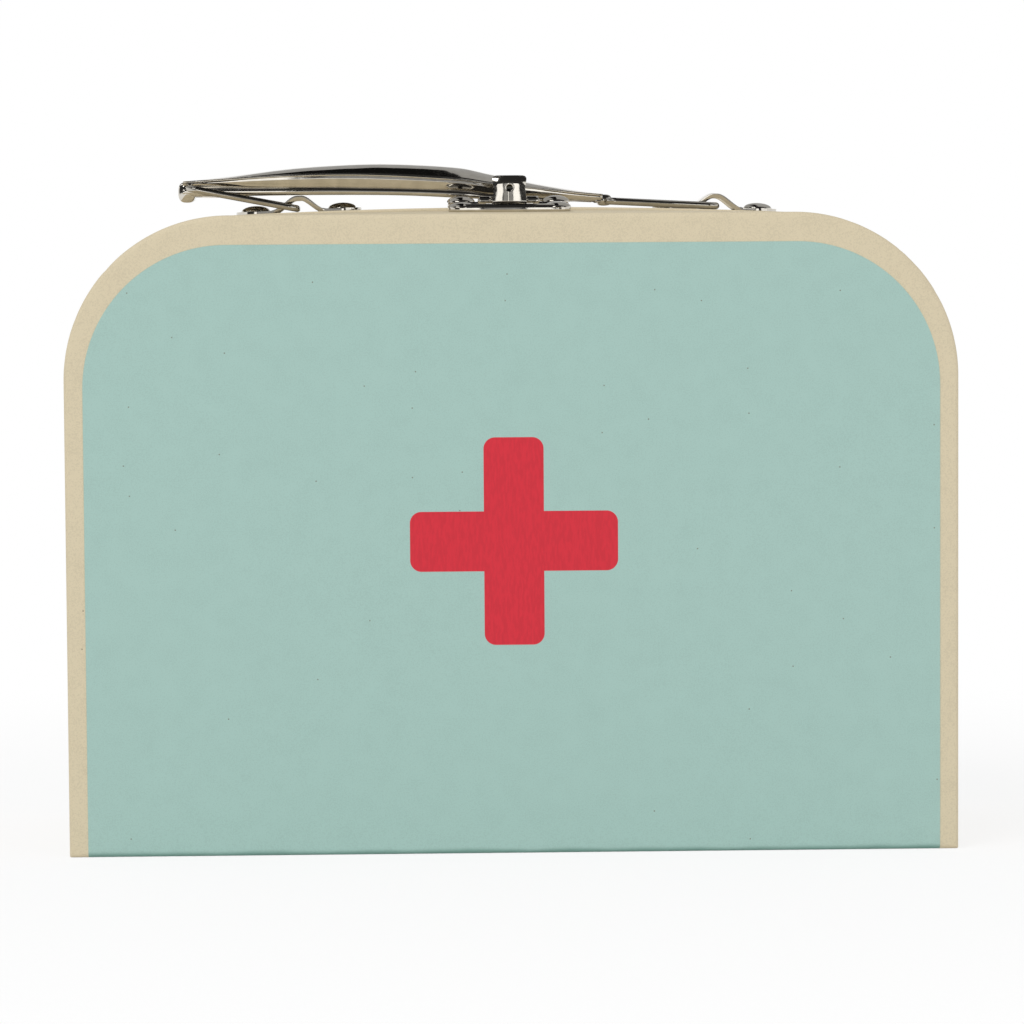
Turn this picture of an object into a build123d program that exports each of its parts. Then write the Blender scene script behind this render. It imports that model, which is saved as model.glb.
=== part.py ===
"""A child's doctor case: a paper-covered cardboard case with a round-cornered lid and base.

The case stands on its hinge side.  X runs along the case, Y from the front of the lid to the
back of the base, Z up.  The origin is the middle of the footprint, on the ground.  Sizes are
in millimetres.
"""
import math
import os

from build123d import *

# ---- The case ----
CASE_WIDTH = 250.0
CASE_HEIGHT = 179.4        # to the top of the two round corners
CASE_DEPTH = 85.0
LID_DEPTH = 27.5
CORNER_R = 46.0            # the two round corners at the top
FRONT_BOW = 0.05           # how far the top wall arches up in its middle: at the front edge,
LID_BOW = 1.0              # at the lid's rim,
BASE_BOW = 1.9             # and along the base, which the handle pulls up
EDGE_EASE = 1.1            # the edges where walls meet the front, back and foot are eased
RIM_EASE = 0.6             # and so are the rims, so the seam shows as a fine groove
BOARD = 1.8                # greyboard thickness
PAPER = 0.3                # covering paper, with its glue
LINING = 0.3               # lining paper inside

# ---- The coloured sheets on the front, back and foot ----
SHEET_SIDE_GAP = 5.3       # cream border left beside the sheet
SHEET_TOP_GAP = 8.2        # and above it
SHEET_CORNER_R = 40.0

# ---- The collar that guides the lid on ----
COLLAR_CARD = 1.0
COLLAR_PLAY = 0.8          # between the collar and the lid's lining
COLLAR_OUT = 6.0           # how far it stands out of the base
COLLAR_IN = 8.0            # how deep it is glued into the base
COLLAR_FOOT = 8.0          # where its two ends stop above the ground

# ---- The cloth tape inside the hinge ----
TAPE_WIDTH = 24.0          # across the seam, both leaves together
TAPE_THICK = 0.3
TAPE_END_GAP = 6.0

# ---- Sheet metal of the fittings ----
SHEET = 0.8

# ---- Rivets ----
RIVET_SHANK_R = 1.5
RIVET_HEAD_R = 3.5
RIVET_HEAD_HEIGHT = 1.3
DOME_BANDS = 2
RIVET_TAIL_R = 2.2
RIVET_TAIL_HEIGHT = 0.5
WASHER_R = 3.5
WASHER_THICK = 0.6
TAIL_DISH = 0.15           # how far the rivet's peened tail narrows

# ---- The handle ----
BRACKET_SPACING = 120.0
BRACKET_LENGTH = 36.0
BRACKET_WIDTH = 12.0
BRACKET_RIVET_X = 12.5     # from the bridge to each rivet
BRIDGE_FOOT = 12.6         # the bridge that holds the ring: its length along the case,
BRIDGE_TOP = 3.2           # the length of its flat top,
BRIDGE_HEIGHT = 4.0        # and its height
BRIDGE_ROUND = 1.5
HANDLE_BACK = 18.5         # the handle's centre line, behind the seam
WIRE_R = 0.85
LEFT_WIRE_LIFT = 1.6       # each ring's bar above the wall, loose under its bridge
RIGHT_WIRE_LIFT = 1.05
RING_LENGTH = 31.3         # between the ring's two bars, centre to centre
RING_INNER_WIDTH = 16.0
RING_BEND_R = 2.5
BEND_STEPS = 3
LEFT_RING_ANGLE = 8.8      # the folded rings lie this far above level
RIGHT_RING_ANGLE = 4.2

# ---- The grip ----
EYE_INNER_R = 1.8
EYE_SHEET = 0.55
GRIP_END_WIDTH = 12.5
GRIP_MID_WIDTH = 19.0
GRIP_CROWN_MID = 8.3       # the crown above the line of the eyes, at mid length
GRIP_CROWN_END = 1.9       # and over the eyes
GRIP_DOME_R = 17.0         # the crown's roundness across
GRIP_FOOT = -0.2           # the lower edge of its sides, from the line of the eyes
GRIP_HEM = 1.6             # that edge is curled in
GRIP_HEM_REACH = 2.6
GRIP_LEAN = 0.6            # the channel dips this many degrees more than the line of the eyes
EYE_SLACK = 0.577          # the grip is this much shorter than from bar to bar, and leans
LEAN_EASE = 0.297          # this many degrees less, so that its loose eye clears all the way over
EYE_SPLIT = 50.0           # degrees of the curl left open,
EYE_SPLIT_FROM = 20.0      # starting this far below level, towards the grip

# ---- The latch ----
LATCH_WIDTH = 34.6
LATCH_DEPTH = 8.0
LATCH_END_DEPTH = 7.0
LATCH_RIVET_X = 13.5
CATCH_AHEAD = 10.0         # the lid's plate, ahead of the seam
LATCH_BASE_BACK = 4.0      # the base's plate, behind it
CATCH_THICK = 1.2
LATCH_FOLD = 1.6           # the base's plate is folded double
PIN_R = 0.6
PIN_AHEAD = 1.7
KNUCKLE_SHEET = 0.6
KNUCKLE_PLAY = 0.1         # between the hasp's knuckle and the pin
KNUCKLE_SIDE_GAP = 0.3
KNUCKLE_LIFT = 0.5         # the knuckles' underside above the wall
HASP_KNUCKLE_WIDTH = 9.4
BASE_KNUCKLE_WIDTH = 3.4
HASP_WIDTH = 13.6
HASP_REACH = 9.3           # from the pin to the thumb tab's face
TAB_WIDTH = 9.8
TAB_FOOT_WIDTH = 11.6
TAB_WAIST = 0.5            # how far the tab's sides curve in
TAB_HEIGHT = 7.8
TAB_ROUND = 1.6
TAB_BEND_R = 1.2
SHOULDER_ROUND = 1.6
DIMPLE_R = 1.1
BEAD_GAP = 0.25            # between the catch's bead and the flap

# ---- Worked out from the sizes above ----
FRONT_Y = -CASE_DEPTH / 2
BACK_Y = CASE_DEPTH / 2
SEAM_Y = FRONT_Y + LID_DEPTH
HANDLE_Y = SEAM_Y + HANDLE_BACK
CATCH_Y = SEAM_Y - CATCH_AHEAD
LATCH_BASE_Y = SEAM_Y + LATCH_BASE_BACK
PIN_Y = SEAM_Y - PIN_AHEAD
CORNER_X = CASE_WIDTH / 2 - CORNER_R
CORNER_Z = CASE_HEIGHT - CORNER_R
WALL = PAPER + BOARD
LINED_WALL = WALL + LINING
BEYOND = 20.0              # how far cutting shapes run past the case
SEAT = 0.01                # how deep a pressed head beds into what it holds

parts = {}


# ---- Shapes that the whole case shares ----
def top_radius(bow):
    """The radius of the long arc that joins both corners and rises by bow in the middle."""
    return (2 * CORNER_R * bow + bow ** 2 + CORNER_X ** 2) / (2 * bow)


def outline(y, inset, bow):
    """The case's closed outline at one depth: square at the foot, round at the top corners."""
    half = CASE_WIDTH / 2 - inset
    reach = (CORNER_R - inset) / (top_radius(bow) - CORNER_R)
    arc_centre_z = CASE_HEIGHT + bow - top_radius(bow)
    joint_x = CORNER_X + CORNER_X * reach
    joint_z = CORNER_Z + (CORNER_Z - arc_centre_z) * reach
    turn = math.atan2(joint_z - CORNER_Z, joint_x - CORNER_X) / 2
    mid_x = CORNER_X + (CORNER_R - inset) * math.cos(turn)
    mid_z = CORNER_Z + (CORNER_R - inset) * math.sin(turn)
    apex_z = CASE_HEIGHT + bow - inset
    return Wire([
        Edge.make_line((-half, y, inset), (half, y, inset)),
        Edge.make_line((half, y, inset), (half, y, CORNER_Z)),
        Edge.make_three_point_arc((half, y, CORNER_Z), (mid_x, y, mid_z), (joint_x, y, joint_z)),
        Edge.make_three_point_arc((joint_x, y, joint_z), (0, y, apex_z), (-joint_x, y, joint_z)),
        Edge.make_three_point_arc((-joint_x, y, joint_z), (-mid_x, y, mid_z), (-half, y, CORNER_Z)),
        Edge.make_line((-half, y, CORNER_Z), (-half, y, inset)),
    ])


def base_block(inset, bow=BASE_BOW, from_y=SEAM_Y, to_y=BACK_Y):
    """The solid inside the base's skin, inset evenly from its outline."""
    return extrude(Face(outline(from_y, inset, bow)), to_y - from_y, dir=(0, 1, 0))


def lid_block(inset):
    """The solid inside the lid's skin: its top goes from level at the front to arched at the rim."""
    sections = [outline(FRONT_Y, inset, FRONT_BOW), outline(SEAM_Y, inset, LID_BOW)]
    return Solid.make_loft(sections, ruled=True)


def slab(from_y, to_y, from_z=-BEYOND, to_z=CASE_HEIGHT + BEYOND, half_x=CASE_WIDTH / 2 + BEYOND):
    """A box across the case between two depths and two heights."""
    size = (2 * half_x, to_y - from_y, to_z - from_z)
    return Pos(0, (from_y + to_y) / 2, (from_z + to_z) / 2) * Box(*size)


def rim_edges(block, face_y):
    """The edges round a block's face at one depth."""
    return list(block.edges().filter_by_position(Axis.Y, face_y - 0.01, face_y + 0.01))


def foot_edges(block):
    """The two long edges at a block's foot."""
    foot_z = block.bounding_box().min.Z
    return list(block.edges().filter_by(
        lambda e: abs(e.center().Z - foot_z) < 0.01 and abs(e.tangent_at(0.5).Y) > 0.99))


def eased(block, face_y, rim_y, inset=0.0):
    """Eases a block's edges round its closed face and foot, and round its open rim."""
    less = inset * (2 - math.sqrt(2))
    block = chamfer(rim_edges(block, face_y) + foot_edges(block), EDGE_EASE - less)
    return chamfer(rim_edges(block, rim_y), RIM_EASE - less)


def sheet_prism(from_y, to_y):
    """The stretch of skin that the coloured sheet covers, from below the foot to its round top."""
    half = CASE_WIDTH / 2 - SHEET_SIDE_GAP
    top = CASE_HEIGHT - SHEET_TOP_GAP
    height = top + BEYOND
    plate = Pos(0, from_y, top - height / 2) * Rot(90, 0, 0) * Rectangle(2 * half, height)
    prism = extrude(plate, to_y - from_y, dir=(0, 1, 0))
    corners = prism.edges().filter_by(Axis.Y).group_by(Axis.Z)[-1]
    return fillet(corners, SHEET_CORNER_R)


def on_base(x, y):
    """A place on the base's top wall, with its local Z along the wall's normal."""
    lean = math.asin(x / top_radius(BASE_BOW))
    z = CASE_HEIGHT + BASE_BOW - top_radius(BASE_BOW) * (1 - math.cos(lean))
    return Pos(x, y, z) * Rot(0, math.degrees(lean), 0)


def on_lid(x, y):
    """A place on the lid's top wall, which also slopes down to the front."""
    share = (y - FRONT_Y) / LID_DEPTH
    bow = FRONT_BOW + (LID_BOW - FRONT_BOW) * share
    lean = math.asin(x / top_radius(bow))
    z = CASE_HEIGHT + bow - top_radius(bow) * (1 - math.cos(lean))
    slope = math.degrees(math.atan2(LID_BOW - FRONT_BOW, LID_DEPTH))
    return Pos(x, y, z) * Rot(slope, 0, 0) * Rot(0, math.degrees(lean), 0)


# ---- Rivets and their washers ----
def rivet(seat_height, grip_depth):
    """A domed rivet: the head's underside at seat_height, the shank down to below the washer."""
    dome_r = (RIVET_HEAD_R ** 2 + RIVET_HEAD_HEIGHT ** 2) / (2 * RIVET_HEAD_HEIGHT)
    whole_turn = math.asin(RIVET_HEAD_R / dome_r)
    top = seat_height + RIVET_HEAD_HEIGHT
    washer_foot = -grip_depth - WASHER_THICK
    end = washer_foot - RIVET_TAIL_HEIGHT
    head_foot = seat_height - SEAT
    turns = [whole_turn * band / DOME_BANDS for band in range(DOME_BANDS + 1)]
    dome = [(dome_r * math.sin(turn), top - dome_r * (1 - math.cos(turn))) for turn in turns]
    shank = [(RIVET_HEAD_R, head_foot), (RIVET_SHANK_R, head_foot), (RIVET_SHANK_R, washer_foot),
             (RIVET_TAIL_R, washer_foot), (RIVET_TAIL_R - TAIL_DISH, end), (0, end)]
    return revolve(Plane.XZ * make_face(Polyline(*dome, *shank, close=True)), Axis.Z)


def washer(grip_depth):
    """A flat washer under the wall, grip_depth below the outer skin."""
    top = SEAT - grip_depth
    disc = Pos(0, 0, top - WASHER_THICK) * Cylinder(
        WASHER_R, WASHER_THICK, align=(Align.CENTER, Align.CENTER, Align.MIN))
    return disc - Pos(0, 0, top) * Cylinder(RIVET_SHANK_R, 4 * WASHER_THICK)


bracket_places = [
    on_base(side * BRACKET_SPACING / 2 + end * BRACKET_RIVET_X, HANDLE_Y)
    for side in (-1, 1) for end in (-1, 1)]
latch_base_places = [on_base(side * LATCH_RIVET_X, LATCH_BASE_Y) for side in (-1, 1)]
catch_places = [on_lid(side * LATCH_RIVET_X, CATCH_Y) for side in (-1, 1)]
COLLARED_WALL = LINED_WALL + COLLAR_PLAY + COLLAR_CARD
latch_grip_depth = COLLARED_WALL + BASE_BOW - LID_BOW

handle_rivets = [place * rivet(SHEET, LINED_WALL) for place in bracket_places]
handle_washers = [place * washer(LINED_WALL) for place in bracket_places]
latch_base_rivets = [place * rivet(LATCH_FOLD, latch_grip_depth) for place in latch_base_places]
latch_base_washers = [place * washer(latch_grip_depth) for place in latch_base_places]
catch_rivets = [place * rivet(CATCH_THICK, LINED_WALL) for place in catch_places]
catch_washers = [place * washer(LINED_WALL) for place in catch_places]

base_fasteners = handle_rivets + latch_base_rivets + handle_washers + latch_base_washers
lid_fasteners = catch_rivets + catch_washers


# ---- The base: boards, papers, lining, collar ----
base_skin = eased(base_block(0), BACK_Y, SEAM_Y)
base_core = eased(base_block(PAPER, from_y=SEAM_Y + PAPER, to_y=BACK_Y - PAPER),
                  BACK_Y - PAPER, SEAM_Y + PAPER, PAPER)
base_room = base_block(WALL, to_y=BACK_Y - WALL)
base_lined_room = base_block(LINED_WALL, to_y=BACK_Y - LINED_WALL)
base_boards = base_core - base_room
base_paper = base_skin - base_core - base_room
back_sheet = sheet_prism(SEAM_Y - BEYOND, BACK_Y + BEYOND)
foot_slab = slab(SEAM_Y, BACK_Y - EDGE_EASE, to_z=WALL)

base_back = slab(BACK_Y - WALL, BACK_Y)
base_foot = slab(SEAM_Y, BACK_Y - WALL, to_z=WALL)
parts["base_back_board"] = base_boards & base_back
parts["base_bottom_board"] = base_boards & base_foot
parts["base_wall_board"] = base_boards - base_back - base_foot - base_fasteners
parts["base_bottom_paper"] = base_paper & back_sheet & foot_slab
parts["base_back_paper"] = (base_paper & back_sheet) - foot_slab
parts["base_wall_paper"] = base_paper - back_sheet - base_fasteners
parts["base_lining"] = base_room - base_lined_room - base_fasteners

collar_ply = base_block(LINED_WALL + COLLAR_PLAY, LID_BOW, SEAM_Y - COLLAR_OUT, SEAM_Y + COLLAR_IN)
collar_fold = base_block(LINED_WALL, to_y=SEAM_Y + COLLAR_IN)
collar_room = base_block(COLLARED_WALL, LID_BOW, SEAM_Y - BEYOND, BACK_Y)
collar_foot = slab(SEAM_Y - BEYOND, BACK_Y, to_z=COLLAR_FOOT)
parts["base_collar"] = (collar_ply + collar_fold) - collar_room - collar_foot - base_fasteners


# ---- The lid: boards, papers, lining ----
def lid_cut(inset, rim_y=SEAM_Y):
    """The lid's inner solid at this inset, with its front set back by as much."""
    return lid_block(inset) & slab(FRONT_Y + inset, rim_y)


lid_skin = eased(lid_block(0), FRONT_Y, SEAM_Y)
lid_core = eased(lid_cut(PAPER, SEAM_Y - PAPER), FRONT_Y + PAPER, SEAM_Y - PAPER, PAPER)
lid_room = lid_cut(WALL)
lid_lined_room = lid_cut(LINED_WALL)
lid_boards = lid_core - lid_room
lid_paper = lid_skin - lid_core - lid_room
front_sheet = sheet_prism(FRONT_Y - BEYOND, SEAM_Y + BEYOND)
lid_foot_slab = slab(FRONT_Y + EDGE_EASE, SEAM_Y, to_z=WALL)

lid_front = slab(FRONT_Y, FRONT_Y + WALL)
lid_foot = slab(FRONT_Y + WALL, SEAM_Y, to_z=WALL)
parts["lid_front_board"] = lid_boards & lid_front
parts["lid_bottom_board"] = lid_boards & lid_foot
parts["lid_wall_board"] = lid_boards - lid_front - lid_foot - lid_fasteners
parts["lid_bottom_paper"] = lid_paper & front_sheet & lid_foot_slab
parts["lid_front_paper"] = (lid_paper & front_sheet) - lid_foot_slab
parts["lid_wall_paper"] = lid_paper - front_sheet - lid_fasteners
parts["lid_lining"] = lid_room - lid_lined_room - lid_fasteners


# ---- The cloth tape inside the hinge, one leaf on each side of the seam ----
def tape_leaf(from_y, to_y):
    half = CASE_WIDTH / 2 - LINED_WALL - TAPE_END_GAP
    return slab(from_y, to_y, LINED_WALL, LINED_WALL + TAPE_THICK, half)


parts["base_hinge_tape"] = tape_leaf(SEAM_Y, SEAM_Y + TAPE_WIDTH / 2)
parts["lid_hinge_tape"] = tape_leaf(SEAM_Y - TAPE_WIDTH / 2, SEAM_Y)


# ---- The handle's brackets: a riveted plate with a bridge pressed up in its middle ----
def plate_blank(length, width, place):
    """A plate's plan outline with half-round ends, as a tall prism."""
    blank = SlotOverall(length, width)
    return place * extrude(Pos(0, 0, -BEYOND) * blank, 2 * BEYOND)


def bridge_profile(grow):
    """The bridge's side view: a round-shouldered hat, grown or shrunk evenly."""
    foot, top = BRIDGE_FOOT / 2, BRIDGE_TOP / 2
    lean = math.hypot(foot - top, BRIDGE_HEIGHT) / BRIDGE_HEIGHT
    base_z = -1.0
    reach = foot + (foot - top) / BRIDGE_HEIGHT * -base_z
    points = [
        (-reach - grow * lean, base_z), (reach + grow * lean, base_z),
        (top + grow * (lean - (foot - top) / BRIDGE_HEIGHT), BRIDGE_HEIGHT + grow),
        (-top - grow * (lean - (foot - top) / BRIDGE_HEIGHT), BRIDGE_HEIGHT + grow)]
    hat = make_face(Polyline(points, close=True))
    return fillet(hat.vertices().group_by(Axis.Y)[-1], BRIDGE_ROUND + grow)


def side_extrude(profile, width):
    """A side view in X and Z, as a solid of this width across Y."""
    return extrude(Plane.XZ * profile, width / 2, both=True)


def bracket(side):
    place = on_base(side * BRACKET_SPACING / 2, HANDLE_Y)
    blank = plate_blank(BRACKET_LENGTH, BRACKET_WIDTH, place)
    plate = (base_block(-SHEET) - base_block(0)) & blank
    hat = place * side_extrude(bridge_profile(0), BRACKET_WIDTH)
    inside = place * side_extrude(bridge_profile(-SHEET), BRACKET_WIDTH + 1)
    body = plate + (hat - base_block(0))
    return body - inside - handle_rivets


parts["left_handle_bracket"] = bracket(-1)
parts["right_handle_bracket"] = bracket(1)
parts["handle_rivets"] = handle_rivets
parts["handle_rivet_washers"] = handle_washers


# ---- The rings: bent wire, one bar under the bridge and one in the grip's eye ----
def pivot(side):
    """The middle of the ring's bar under its bridge."""
    lift = RIGHT_WIRE_LIFT if side > 0 else LEFT_WIRE_LIFT
    return (on_base(side * BRACKET_SPACING / 2, HANDLE_Y) * Pos(0, 0, lift)).position


def ring(side, angle):
    """A closed loop of wire, laid flat and then tipped up by the angle."""
    half_length = RING_LENGTH / 2
    half_width = RING_INNER_WIDTH / 2 + WIRE_R
    points = []
    for corner, (x, y) in enumerate([(1, 1), (-1, 1), (-1, -1), (1, -1)]):
        centre = Vector(x * (half_length - RING_BEND_R), y * (half_width - RING_BEND_R))
        for step in range(BEND_STEPS + 1):
            turn = math.radians(90 * (corner + step / BEND_STEPS))
            points.append(centre + RING_BEND_R * Vector(math.cos(turn), math.sin(turn)))
    path = Polyline(*points, close=True)
    start = Plane(origin=path @ 0, z_dir=path % 0) * Circle(WIRE_R)
    wire = sweep(start, path=path, transition=Transition.RIGHT)
    return Pos(*pivot(side)) * Rot(0, angle, 0) * Pos(-half_length, 0, 0) * wire


def eye(side, angle):
    """The middle of the ring's other bar."""
    turn = math.radians(angle)
    return pivot(side) + Vector(-RING_LENGTH * math.cos(turn), 0, RING_LENGTH * math.sin(turn))


parts["left_ring"] = ring(-1, LEFT_RING_ANGLE)
parts["right_ring"] = ring(1, RIGHT_RING_ANGLE)

left_eye = eye(-1, LEFT_RING_ANGLE)
right_eye = eye(1, RIGHT_RING_ANGLE)
EYE_SPACING = (right_eye - left_eye).length - EYE_SLACK
BAR_LEAN = math.degrees(math.atan2(left_eye.Z - right_eye.Z, right_eye.X - left_eye.X))
grip_place = Pos(*left_eye) * Rot(0, BAR_LEAN - LEAN_EASE, 0) * Pos(EYE_SPACING / 2, 0, 0)


# ---- The grip: a stamped channel, arched and crowned, with its edges curled in ----
GRIP_HALF = EYE_SPACING / 2
EYE_R = EYE_INNER_R + EYE_SHEET
ARCH_R = (GRIP_HALF ** 2 + (GRIP_CROWN_MID - GRIP_CROWN_END) ** 2) / (
    2 * (GRIP_CROWN_MID - GRIP_CROWN_END))
ARCH_CENTRE_Z = GRIP_CROWN_MID - ARCH_R
channel_place = Rot(0, GRIP_LEAN, 0)


def crowned_bar():
    """A bar with a domed top, turned along the arch from eye to eye."""
    half = GRIP_MID_WIDTH / 2 + 1
    edge_z = GRIP_CROWN_MID - GRIP_DOME_R + math.sqrt(GRIP_DOME_R ** 2 - half ** 2)
    section = make_face(Curve() + [
        ThreePointArc((-half, edge_z), (0, GRIP_CROWN_MID), (half, edge_z)),
        Polyline((half, edge_z), (half, -BEYOND), (-half, -BEYOND), (-half, edge_z))])
    sweep_angle = 2 * math.degrees(math.asin(1.05 * GRIP_HALF / ARCH_R))
    axis = Axis((0, 0, ARCH_CENTRE_Z), (0, 1, 0))
    start = Pos(0, 0, ARCH_CENTRE_Z) * Rot(0, -sweep_angle / 2, 0) * Pos(0, 0, -ARCH_CENTRE_Z)
    return revolve(start * (Plane.YZ * section), axis, sweep_angle)


def arched_bar():
    """The bar's hollow: level across, its top one sheet below the crown's shoulders."""
    half = GRIP_MID_WIDTH / 2
    drop = GRIP_DOME_R - math.sqrt(GRIP_DOME_R ** 2 - half ** 2)
    arch = Pos(0, 0, ARCH_CENTRE_Z) * Rot(90, 0, 0) * Cylinder(
        ARCH_R - drop - SHEET, GRIP_MID_WIDTH)
    return arch & Pos(0, 0, BEYOND / 2 - 1) * Box(2.2 * GRIP_HALF, GRIP_MID_WIDTH, BEYOND)


def grip_plan(inset, reach):
    """The grip from above: two long arcs that swell from the eyes to mid length."""
    mid = GRIP_MID_WIDTH / 2 - inset
    end = mid - (GRIP_MID_WIDTH - GRIP_END_WIDTH) / 2 * reach ** 2
    x = reach * GRIP_HALF
    return make_face(Curve() + [
        ThreePointArc((-x, end), (0, mid), (x, end)), Line((x, end), (x, -end)),
        ThreePointArc((x, -end), (0, -mid), (-x, -end)), Line((-x, -end), (-x, end))])


def channel_solid(bar, inset, reach):
    """The bar cut to the grip's plan, with its lower edges turned in."""
    foot = GRIP_FOOT + inset
    solid = bar & extrude(Pos(0, 0, foot) * grip_plan(inset, reach), BEYOND)
    long_edges = solid.edges().filter_by(
        lambda e: abs(e.center().Z - foot) < 0.01 and e.length > GRIP_HALF)
    return chamfer(long_edges, GRIP_HEM - inset)


def grip_eye(side):
    """The curl at one end: a split tube round the ring's bar."""
    place = Pos(side * GRIP_HALF, 0, 0) * Rot(90, 0, 0)
    tube = place * (Cylinder(EYE_R, GRIP_END_WIDTH) - Cylinder(EYE_INNER_R, 2 * GRIP_END_WIDTH))
    tube_reach = 3 * EYE_R
    gap_from = 180 + EYE_SPLIT_FROM if side > 0 else -EYE_SPLIT_FROM - EYE_SPLIT
    start, stop = math.radians(gap_from), math.radians(gap_from + EYE_SPLIT)
    wedge = make_face(Polyline(
        (0, 0), (tube_reach * math.cos(start), tube_reach * math.sin(start)),
        (tube_reach * math.cos(stop), tube_reach * math.sin(stop)), close=True))
    gap = Pos(side * GRIP_HALF, 0, 0) * side_extrude(wedge, 2 * GRIP_END_WIDTH)
    return tube - gap


def grip():
    reach = 1 - 0.6 * EYE_R / GRIP_HALF
    channel = channel_solid(crowned_bar(), 0, reach) - channel_solid(arched_bar(), SHEET, 1.1)
    slot = Box(EYE_SPACING + BEYOND, GRIP_END_WIDTH - 2 * GRIP_HEM_REACH, BEYOND,
               align=(Align.CENTER, Align.CENTER, Align.MAX))
    channel = channel_place * (channel - Pos(0, 0, GRIP_FOOT + SHEET + 0.5) * slot)
    bores = [Pos(side * GRIP_HALF, 0, 0) * Rot(90, 0, 0) * Cylinder(EYE_INNER_R, 2 * GRIP_MID_WIDTH)
             for side in (-1, 1)]
    return (channel - bores) + grip_eye(-1) + grip_eye(1)


parts["handle_grip"] = grip_place * grip()


# ---- The latch ----
def catch_blank():
    """The lid's plate in plan: straight behind, gently convex in front."""
    half, end = LATCH_WIDTH / 2, LATCH_END_DEPTH / 2
    straight = half - end
    outer = Line((straight, end), (-straight, end))
    left = ThreePointArc((-straight, end), (-half, 0), (-straight, -end))
    front = ThreePointArc((-straight, -end), (0, -LATCH_DEPTH + end), (straight, -end))
    right = ThreePointArc((straight, -end), (half, 0), (straight, end))
    blank = make_face(Curve() + [outer, left, front, right])
    return extrude(Pos(0, CATCH_Y, CASE_HEIGHT - BEYOND) * blank, 2 * BEYOND)


KNUCKLE_R = PIN_R + KNUCKLE_PLAY + KNUCKLE_SHEET
FLAP_Z = CASE_HEIGHT + BASE_BOW + KNUCKLE_LIFT
PIN_Z = FLAP_Z + KNUCKLE_R
KNUCKLE_SPAN = HASP_KNUCKLE_WIDTH + 2 * (KNUCKLE_SIDE_GAP + BASE_KNUCKLE_WIDTH)


def along_pin(radius, length):
    """A round bar on the pin's axis."""
    return Pos(0, PIN_Y, PIN_Z) * Rot(0, 90, 0) * Cylinder(radius, length)


def rolled_strip(reach, width, x=0):
    """A strip whose end is rolled round the pin; it runs off level with the roll's underside."""
    low, high = -KNUCKLE_R, KNUCKLE_SHEET - KNUCKLE_R
    lip = math.copysign(math.sqrt(KNUCKLE_R ** 2 - high ** 2), reach)
    profile = make_face([
        Edge.make_line((0, 0, low), (0, reach, low)),
        Edge.make_line((0, reach, low), (0, reach, high)),
        Edge.make_line((0, reach, high), (0, lip, high)),
        Edge.make_three_point_arc((0, lip, high), (0, 0, KNUCKLE_R), (0, 0, low))])
    return Pos(x, PIN_Y, PIN_Z) * extrude(profile, width / 2, dir=(1, 0, 0), both=True)


def latch_base_plate():
    blank = plate_blank(LATCH_WIDTH, LATCH_DEPTH, Pos(0, LATCH_BASE_Y, CASE_HEIGHT))
    notch = slab(PIN_Y, PIN_Y + KNUCKLE_R + KNUCKLE_SIDE_GAP, CASE_HEIGHT,
                 half_x=HASP_KNUCKLE_WIDTH / 2 + 2 * KNUCKLE_SIDE_GAP)
    plate = ((base_block(-LATCH_FOLD) - base_block(0)) & blank) - notch
    knuckle_x = (HASP_KNUCKLE_WIDTH + BASE_KNUCKLE_WIDTH) / 2 + KNUCKLE_SIDE_GAP
    for side in (-1, 1):
        plate += rolled_strip(LATCH_BASE_Y - PIN_Y, BASE_KNUCKLE_WIDTH, side * knuckle_x)
    return plate - along_pin(PIN_R, 2 * LATCH_WIDTH) - latch_base_rivets


def catch_bead():
    """The low bead that holds the flap's dimple, on the middle of the lid's plate."""
    place = on_lid(0, CATCH_Y)
    top = FLAP_Z - BEAD_GAP - place.position.Z
    rise = top - CATCH_THICK
    ball_r = (DIMPLE_R ** 2 + rise ** 2) / (2 * rise)
    return place * (Pos(0, 0, top - ball_r) * Sphere(ball_r) & Pos(0, 0, CATCH_THICK / 2) * Cylinder(
        2 * DIMPLE_R, BEYOND, align=(Align.CENTER, Align.CENTER, Align.MIN)))


def catch_plate():
    sheet = lid_block(-CATCH_THICK) - lid_block(0)
    return (sheet & catch_blank()) + catch_bead() - catch_rivets


def tab_outline():
    """The thumb tab's front view: a waisted plate with round shoulders, flared at its foot."""
    foot, top = TAB_FOOT_WIDTH / 2, TAB_WIDTH / 2
    waist = top - TAB_WAIST
    foot_z, top_z = FLAP_Z, FLAP_Z + TAB_HEIGHT + KNUCKLE_SHEET
    mid_z = (foot_z + top_z) / 2
    sides = [
        Line((-foot, foot_z), (foot, foot_z)),
        ThreePointArc((foot, foot_z), (waist, mid_z), (top, top_z)),
        Line((top, top_z), (-top, top_z)),
        ThreePointArc((-top, top_z), (-waist, mid_z), (-foot, foot_z))]
    face = make_face(Curve() + sides)
    return fillet(face.vertices().group_by(Axis.Y)[-1], TAB_ROUND)


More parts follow.
